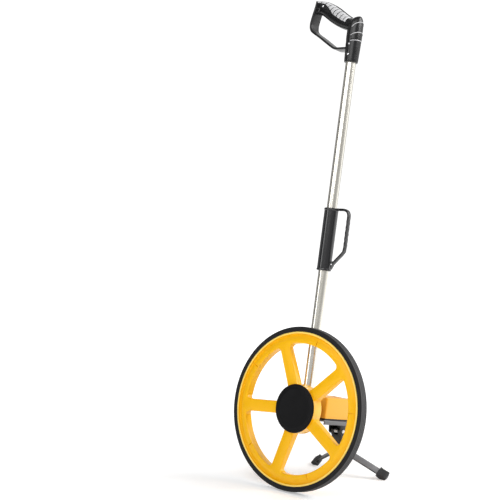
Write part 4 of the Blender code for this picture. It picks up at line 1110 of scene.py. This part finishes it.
def build_yoke():
    """Hinge yoke with its two studs and its pin, and the coil spring."""
    lug = filleted([(132, -18.7, 0), (154, -18.7, 0), (151.5, -33, 2), (150, -45, 6.5),
                    (136, -45, 6.5), (134.6, -33, 2)], 6)
    yoke = slab(rectangle(-15.4, 128, 15.4, 157.6, 2, 4), -21.2, -18.7, "Z", 0.4, 2, name="hinge_yoke")
    for low, high in ((-15.4, -13), (13, 15.4)):
        fuse(yoke, slab(lug, low, high, "X", 0.4, 2))
    fuse(yoke, slab(rectangle(-14, -39.4, 14, -19.5, 0.6), 151.2, 153.4, "Y", 0.3, 2))
    cut(yoke, rod(2.8, -20, 20, "X", (HINGE_Y, HINGE_Z), 48))
    finish(yoke, "frame", "black_steel", ("stand_yoke",))
    for name, node, y in (("yoke_stud_front", "yoke_rivet_front", 131),
                          ("yoke_stud_back", "yoke_rivet_back", 155)):
        rivet = [(0, -23.2), (1.6, -23.1), (2.8, -22.5), (3.5, -21.8), (3.6, -21.45), (1.8, -21.45),
                 (1.8, -16.2), (0, -16.2)]
        finish(lathe(rivet, "Z", (0, y), 32, name), "frame", "bright_steel", (node,))
    pin = both_ends([(0, -17.6), (2, -17.5), (3.2, -17.1), (3.9, -16.3), (4, -15.7), (2.5, -15.7)])
    finish(lathe(pin, "X", (HINGE_Y, HINGE_Z), 40, "hinge_pin"), "frame", "bright_steel", ("stand_pin",))

    coil = []
    turn_steps = 28
    coil_steps = 4.5 * turn_steps
    for step in range(int(coil_steps) + 1):
        angle = 2 * pi * step / turn_steps
        coil.append(Vector((-4.6 + 9.2 * step / coil_steps, HINGE_Y + 4 * cos(angle),
                            HINGE_Z + 4 * sin(angle))))
    spring = tube_along(coil, 0.75)
    spring.name = "return_spring"
    finish(spring, "frame", "bright_steel", ("stand_spring",), sharp_deg=60)


def build_legs():
    """Stem, bent legs, the bolt that joins them, and the boots."""
    hinge = Vector((0, HINGE_Y, HINGE_Z))
    apex = Vector((0, APEX_Y, APEX_Z))
    stem_axis = (apex - hinge).normalized()
    stem_square = Vector((0, -stem_axis.z, stem_axis.y))
    stem_axes = (hinge, stem_axis, stem_square, X_WAY)
    tip = (apex - hinge).length + 1.4
    body = filleted([(7, -4.4, 0.6), (11, -6.4, 2), (tip, -6.4, 2.4), (tip, 6.4, 2.4),
                     (11, 6.4, 2), (7, 4.4, 0.6)], 5)
    stem = slab(body, -12.2, 12.2, stem_axes, 1.6, 4, name="stand_block")
    ear = filleted([(9, -5, 0), (9, 5, 0), (-5, 5, 4.9), (-5, -5, 4.9)], 8)
    for low, high in ((-12.6, -6), (6, 12.6)):
        fuse(stem, slab(ear, low, high, stem_axes, 0.4, 2))
    cut(stem, rod(2.7, -20, 20, "X", (HINGE_Y, HINGE_Z), 48))

    down = Vector((0, FOOT_Y - APEX_Y, FOOT_Z - APEX_Z))
    drop = down.length
    down.normalize()
    square = Vector((0, -down.z, down.y))
    run = Vector((FOOT_X, drop))
    leg_length = run.length
    run.normalize()
    flat_depth = 5
    flat_half = flat_depth * run.x / run.y
    end = run * (leg_length - 6)
    half_thick = 2
    lift = Vector((run.y, -run.x)) * half_thick
    miter = half_thick * (1 - run.x) / run.y
    right_side = [(flat_half + miter, flat_depth - half_thick, 7), (end.x + lift.x, end.y + lift.y, 1.6),
                  (end.x - lift.x, end.y - lift.y, 1.6), (flat_half - miter, flat_depth + half_thick, 3)]
    left_side = [(-a, b, radius) for a, b, radius in reversed(right_side)]
    corners = left_side[2:] + right_side + left_side[:2]
    leg_axes = (apex, X_WAY, down, square)
    legs = slab(filleted(corners, 6), -7, 7, leg_axes, 1.1, 4, name="leg_strap")
    bolt_axes = Matrix.Translation(apex) @ Z_WAY.rotation_difference(down).to_matrix().to_4x4()
    for target in (stem, legs):
        hole = rod(2.7, -14.4, 20, "Z", segments=32)
        hole.data.transform(bolt_axes)
        cut(target, hole)
    finish(stem, "stand", "black_steel", ("stand_stem",))
    finish(legs, "stand", "grey_steel", ("stand_legs",))
    edge_way = (TO_ROW.to_3x3() @ square).normalized()
    # Both narrow edges of the grey strap get black steel: painted shade, for the dark lower edge
    repaint(legs, "black_steel", lambda polygon: abs(polygon.normal.dot(edge_way)) > 0.8)
    seat = flat_depth + half_thick + 0.3
    bolt = lathe([(0, -14), (2.2, -14), (2.4, -13.6), (2.4, seat), (5.2, seat), (5.2, seat + 0.7),
                  (0, seat + 0.7)], "Z", segments=40, name="leg_bolt")
    hexagon = [(4.7 * cos(turn), 4.7 * sin(turn)) for turn in turns_round(6)]
    fuse(bolt, slab(hexagon, seat + 0.5, seat + 3.9, "Z", 0.5, 2, 0))
    bolt.data.transform(bolt_axes)
    finish(bolt, "stand", "bright_steel", ("stand_bolt",))

    build_boots(apex, down, square, run, leg_length)


def build_boots(apex, down, square, run, leg_length):
    """Rubber boots with a collar and two grip grooves, cut flat where they meet the floor."""
    for name, node, side in (("foot_left", "boot_left", -1), ("foot_right", "boot_right", 1)):
        along = X_WAY * (side * run.x) + down * run.y
        inplane = X_WAY * (side * run.y) - down * run.x
        start = leg_length - 16
        axes = (apex, along, inplane, square)
        outline = filleted([(start, -4.9, 1.6), (leg_length - 5, -9.4, 3), (leg_length + 5, -9.4, 1.7),
                            (leg_length + 5, 5.4, 2.4), (start, 4.9, 1.6)], 4)
        boot = slab(outline, -9.5, 9.5, axes, 1.5, 4, name=name)
        collar = slab(rectangle(start - 0.2, -5.6, start + 3.6, 5.6, 1.7, 4), -9.9, 9.9, axes, 1.5, 4)
        fuse(boot, collar)
        for step in range(2):
            place = start + 7 + 5 * step
            ring = slab(rectangle(place, -14, place + 1.3, 14, 0), -14, 14, axes, 0)
            cut(ring, slab(rectangle(place - 3, -12, place + 5, 4.7, 1.6), -8.8, 8.8, axes, 1.4))
            cut(boot, ring)
        cut(boot, slab(rectangle(start - 5, -2.3, leg_length - 4, 2.3, 0.6, 3), -7.3, 7.3, axes, 0.5))
        ground = [(100, floor_height(100)), (300, floor_height(300)), (300, -400),
                  (100, -400)]
        cut(boot, slab(ground, -200, 200, "X", 0))
        finish(boot, "stand", "foot_rubber", (node,), sharp_deg=40)


# ---- kept nodes


def dress_kept_nodes():
    """Better materials and smooth shading for CAD nodes whose shape is already right."""
    slots = {row["node"]: row["material_slot"] for row in frame["record"]["subparts"]}
    for name, made in frame["nodes"].items():
        if made.hide_render:
            continue
        dress(made, slots[name], 35)


# ---- studio


def stage_material(name, settings):
    """Plain material for a piece of the stage."""
    made = bpy.data.materials.new(name)
    made.use_nodes = True
    shader = made.node_tree.nodes["Principled BSDF"]
    for key, value in settings.items():
        shader.inputs[key].default_value = value
    return made


def hide_from(made, *rays):
    """Leave a piece out of some kinds of light ray."""
    for ray in rays:
        setattr(made, "visible_" + ray, False)


def build_floor():
    """Pale floor that grows brighter away from the object, until it meets the white backdrop."""
    reach = 30
    floor = make("floor", [(-reach, -reach, 0), (reach, -reach, 0), (reach, reach, 0), (-reach, reach, 0)],
                 [(0, 1, 2, 3)])
    floor.location = (0, 0, -0.0002)
    look = stage_material("pale_floor", {"Base Color": (0.8, 0.8, 0.8, 1), "Roughness": 0.8,
                                         "Specular IOR Level": 0.1, "Emission Color": WHITE})
    floor.data.materials.append(look)
    tree = look.node_tree
    place = node_of(tree, "ShaderNodeTexCoord")
    distance = node_of(tree, "ShaderNodeVectorMath", operation="LENGTH")
    # Painted light: the floor glows by itself, more weakly near the object so that shadows show, brighter
    # further away
    glow = map_range(tree, 0.25, 1.6, 0.36, 0.85)
    wire(tree, (place.outputs["Object"], distance.inputs[0]),
         (distance.outputs["Value"], glow.inputs["Value"]),
         (glow.outputs["Result"], tree.nodes["Principled BSDF"].inputs["Emission Strength"]))


def build_backdrop():
    """White surroundings that only the camera sees."""
    dome = rod(20, -0.5, 14, "Z", segments=96)
    dome.name = "backdrop"
    dome.data.materials.append(stage_material(
        "backdrop_white",
        {"Base Color": (0, 0, 0, 1), "Emission Color": WHITE, "Emission Strength": 1.05}))
    hide_from(dome, "diffuse", "glossy", "shadow")


def build_tent():
    """Wall of lit and dark strips round the object that only glossy surfaces see."""
    # Azimuth in degrees and brightness of each change along the wall
    strips = [(-180, 0.9), (-150, 0.7), (-104, 0.16), (-88, 0.34), (-70, 0.6), (-60, 0.3), (-50, 0.06),
              (-33, 0.06), (-31, 3.6), (-17, 3.6), (-14, 0.6), (4, 0.66), (27, 0.7), (50, 0.66), (73, 0.5),
              (99, 0.6), (122, 0.8), (136, 1.9), (152, 1.9), (158, 0.8), (180, 0.8)]
    full_strength = 4.5
    count = 96
    radius = 6
    vertices = []
    for level in (-0.5, 9):
        for angle in turns_round(count):
            vertices.append((radius * sin(angle), -radius * cos(angle), level))
    tent = make("tent", vertices, ring_faces(2, count))
    glow = bpy.data.materials.new("tent_glow")
    glow.use_nodes = True
    tree = glow.node_tree
    tree.nodes.clear()
    out = node_of(tree, "ShaderNodeOutputMaterial")
    emit = node_of(tree, "ShaderNodeEmission", Strength=full_strength)
    place = node_of(tree, "ShaderNodeTexCoord")
    parts = node_of(tree, "ShaderNodeSeparateXYZ")
    turn = node_of(tree, "ShaderNodeMath", operation="ARCTAN2")
    flip = node_of(tree, "ShaderNodeMath", operation="MULTIPLY")
    flip.inputs[1].default_value = -1
    share = map_range(tree, -pi, pi, 0, 1)
    strip_ramp = node_of(tree, "ShaderNodeValToRGB")
    elements = strip_ramp.color_ramp.elements
    while len(elements) > 1:
        elements.remove(elements[0])
    for number, (azimuth, value) in enumerate(strips):
        position = (azimuth + 180) / 360
        stop = elements[0] if number == 0 else elements.new(position)
        stop.position = position
        level = value / full_strength
        stop.color = (level, level, level, 1)
    wire(tree, (place.outputs["Object"], parts.inputs[0]), (parts.outputs["Y"], flip.inputs[0]),
         (parts.outputs["X"], turn.inputs[0]), (flip.outputs[0], turn.inputs[1]),
         (turn.outputs[0], share.inputs["Value"]), (share.outputs["Result"], strip_ramp.inputs["Fac"]),
         (strip_ramp.outputs["Color"], emit.inputs["Color"]), (emit.outputs[0], out.inputs["Surface"]))
    tent.data.materials.append(glow)
    hide_from(tent, "camera", "diffuse", "shadow", "transmission")


def build_lights():
    """Even white surroundings, and two soft lamps aimed at the middle of the object."""
    world = bpy.data.worlds.new("studio")
    bpy.context.scene.world = world
    world.use_nodes = True
    background = world.node_tree.nodes["Background"]
    background.inputs["Color"].default_value = WHITE
    background.inputs["Strength"].default_value = 0.36
    middle = Vector((0, 0, 0.45))
    distance = 2.6
    for name, azimuth, elevation, width, power, gloss in (("key", 118, 38, 1.6, 60, 0.3),
                                                          ("front", 20, 40, 1.8, 31, 0.2)):
        light = bpy.data.lights.new(name, "AREA")
        light.shape = "RECTANGLE"
        light.size = width
        light.size_y = width
        light.energy = power
        light.specular_factor = gloss
        lamp = placed(name, light)
        across = radians(azimuth)
        raised = radians(elevation)
        away = Vector((sin(across) * cos(raised), -cos(across) * cos(raised),
                       sin(raised)))
        lamp.location = middle + away * distance
        lamp.rotation_euler = (-away).to_track_quat("-Z", "Y").to_euler()


def build_camera():
    """Long lens 0.67 m above the floor, looking slightly down at the object."""
    bpy.context.scene.view_settings.view_transform = "Standard"

    camera = bpy.data.cameras.new("camera")
    camera.lens = 90
    camera.sensor_width = 36
    holder = placed("camera", camera)
    holder.location = (1.5285, -1.9165, 0.668)
    holder.rotation_euler = (radians(85.16), 0, radians(41.99))
    bpy.context.scene.camera = holder


build_tyre()
build_wheel()
build_hub_cap()
build_pole()
build_sleeve()
build_handle()
build_pad()
build_guard()
build_bracket()
build_case()
build_drums()
build_yoke()
build_legs()
dress_kept_nodes()
build_floor()
build_lights()
build_backdrop()
build_tent()
build_camera()

import json
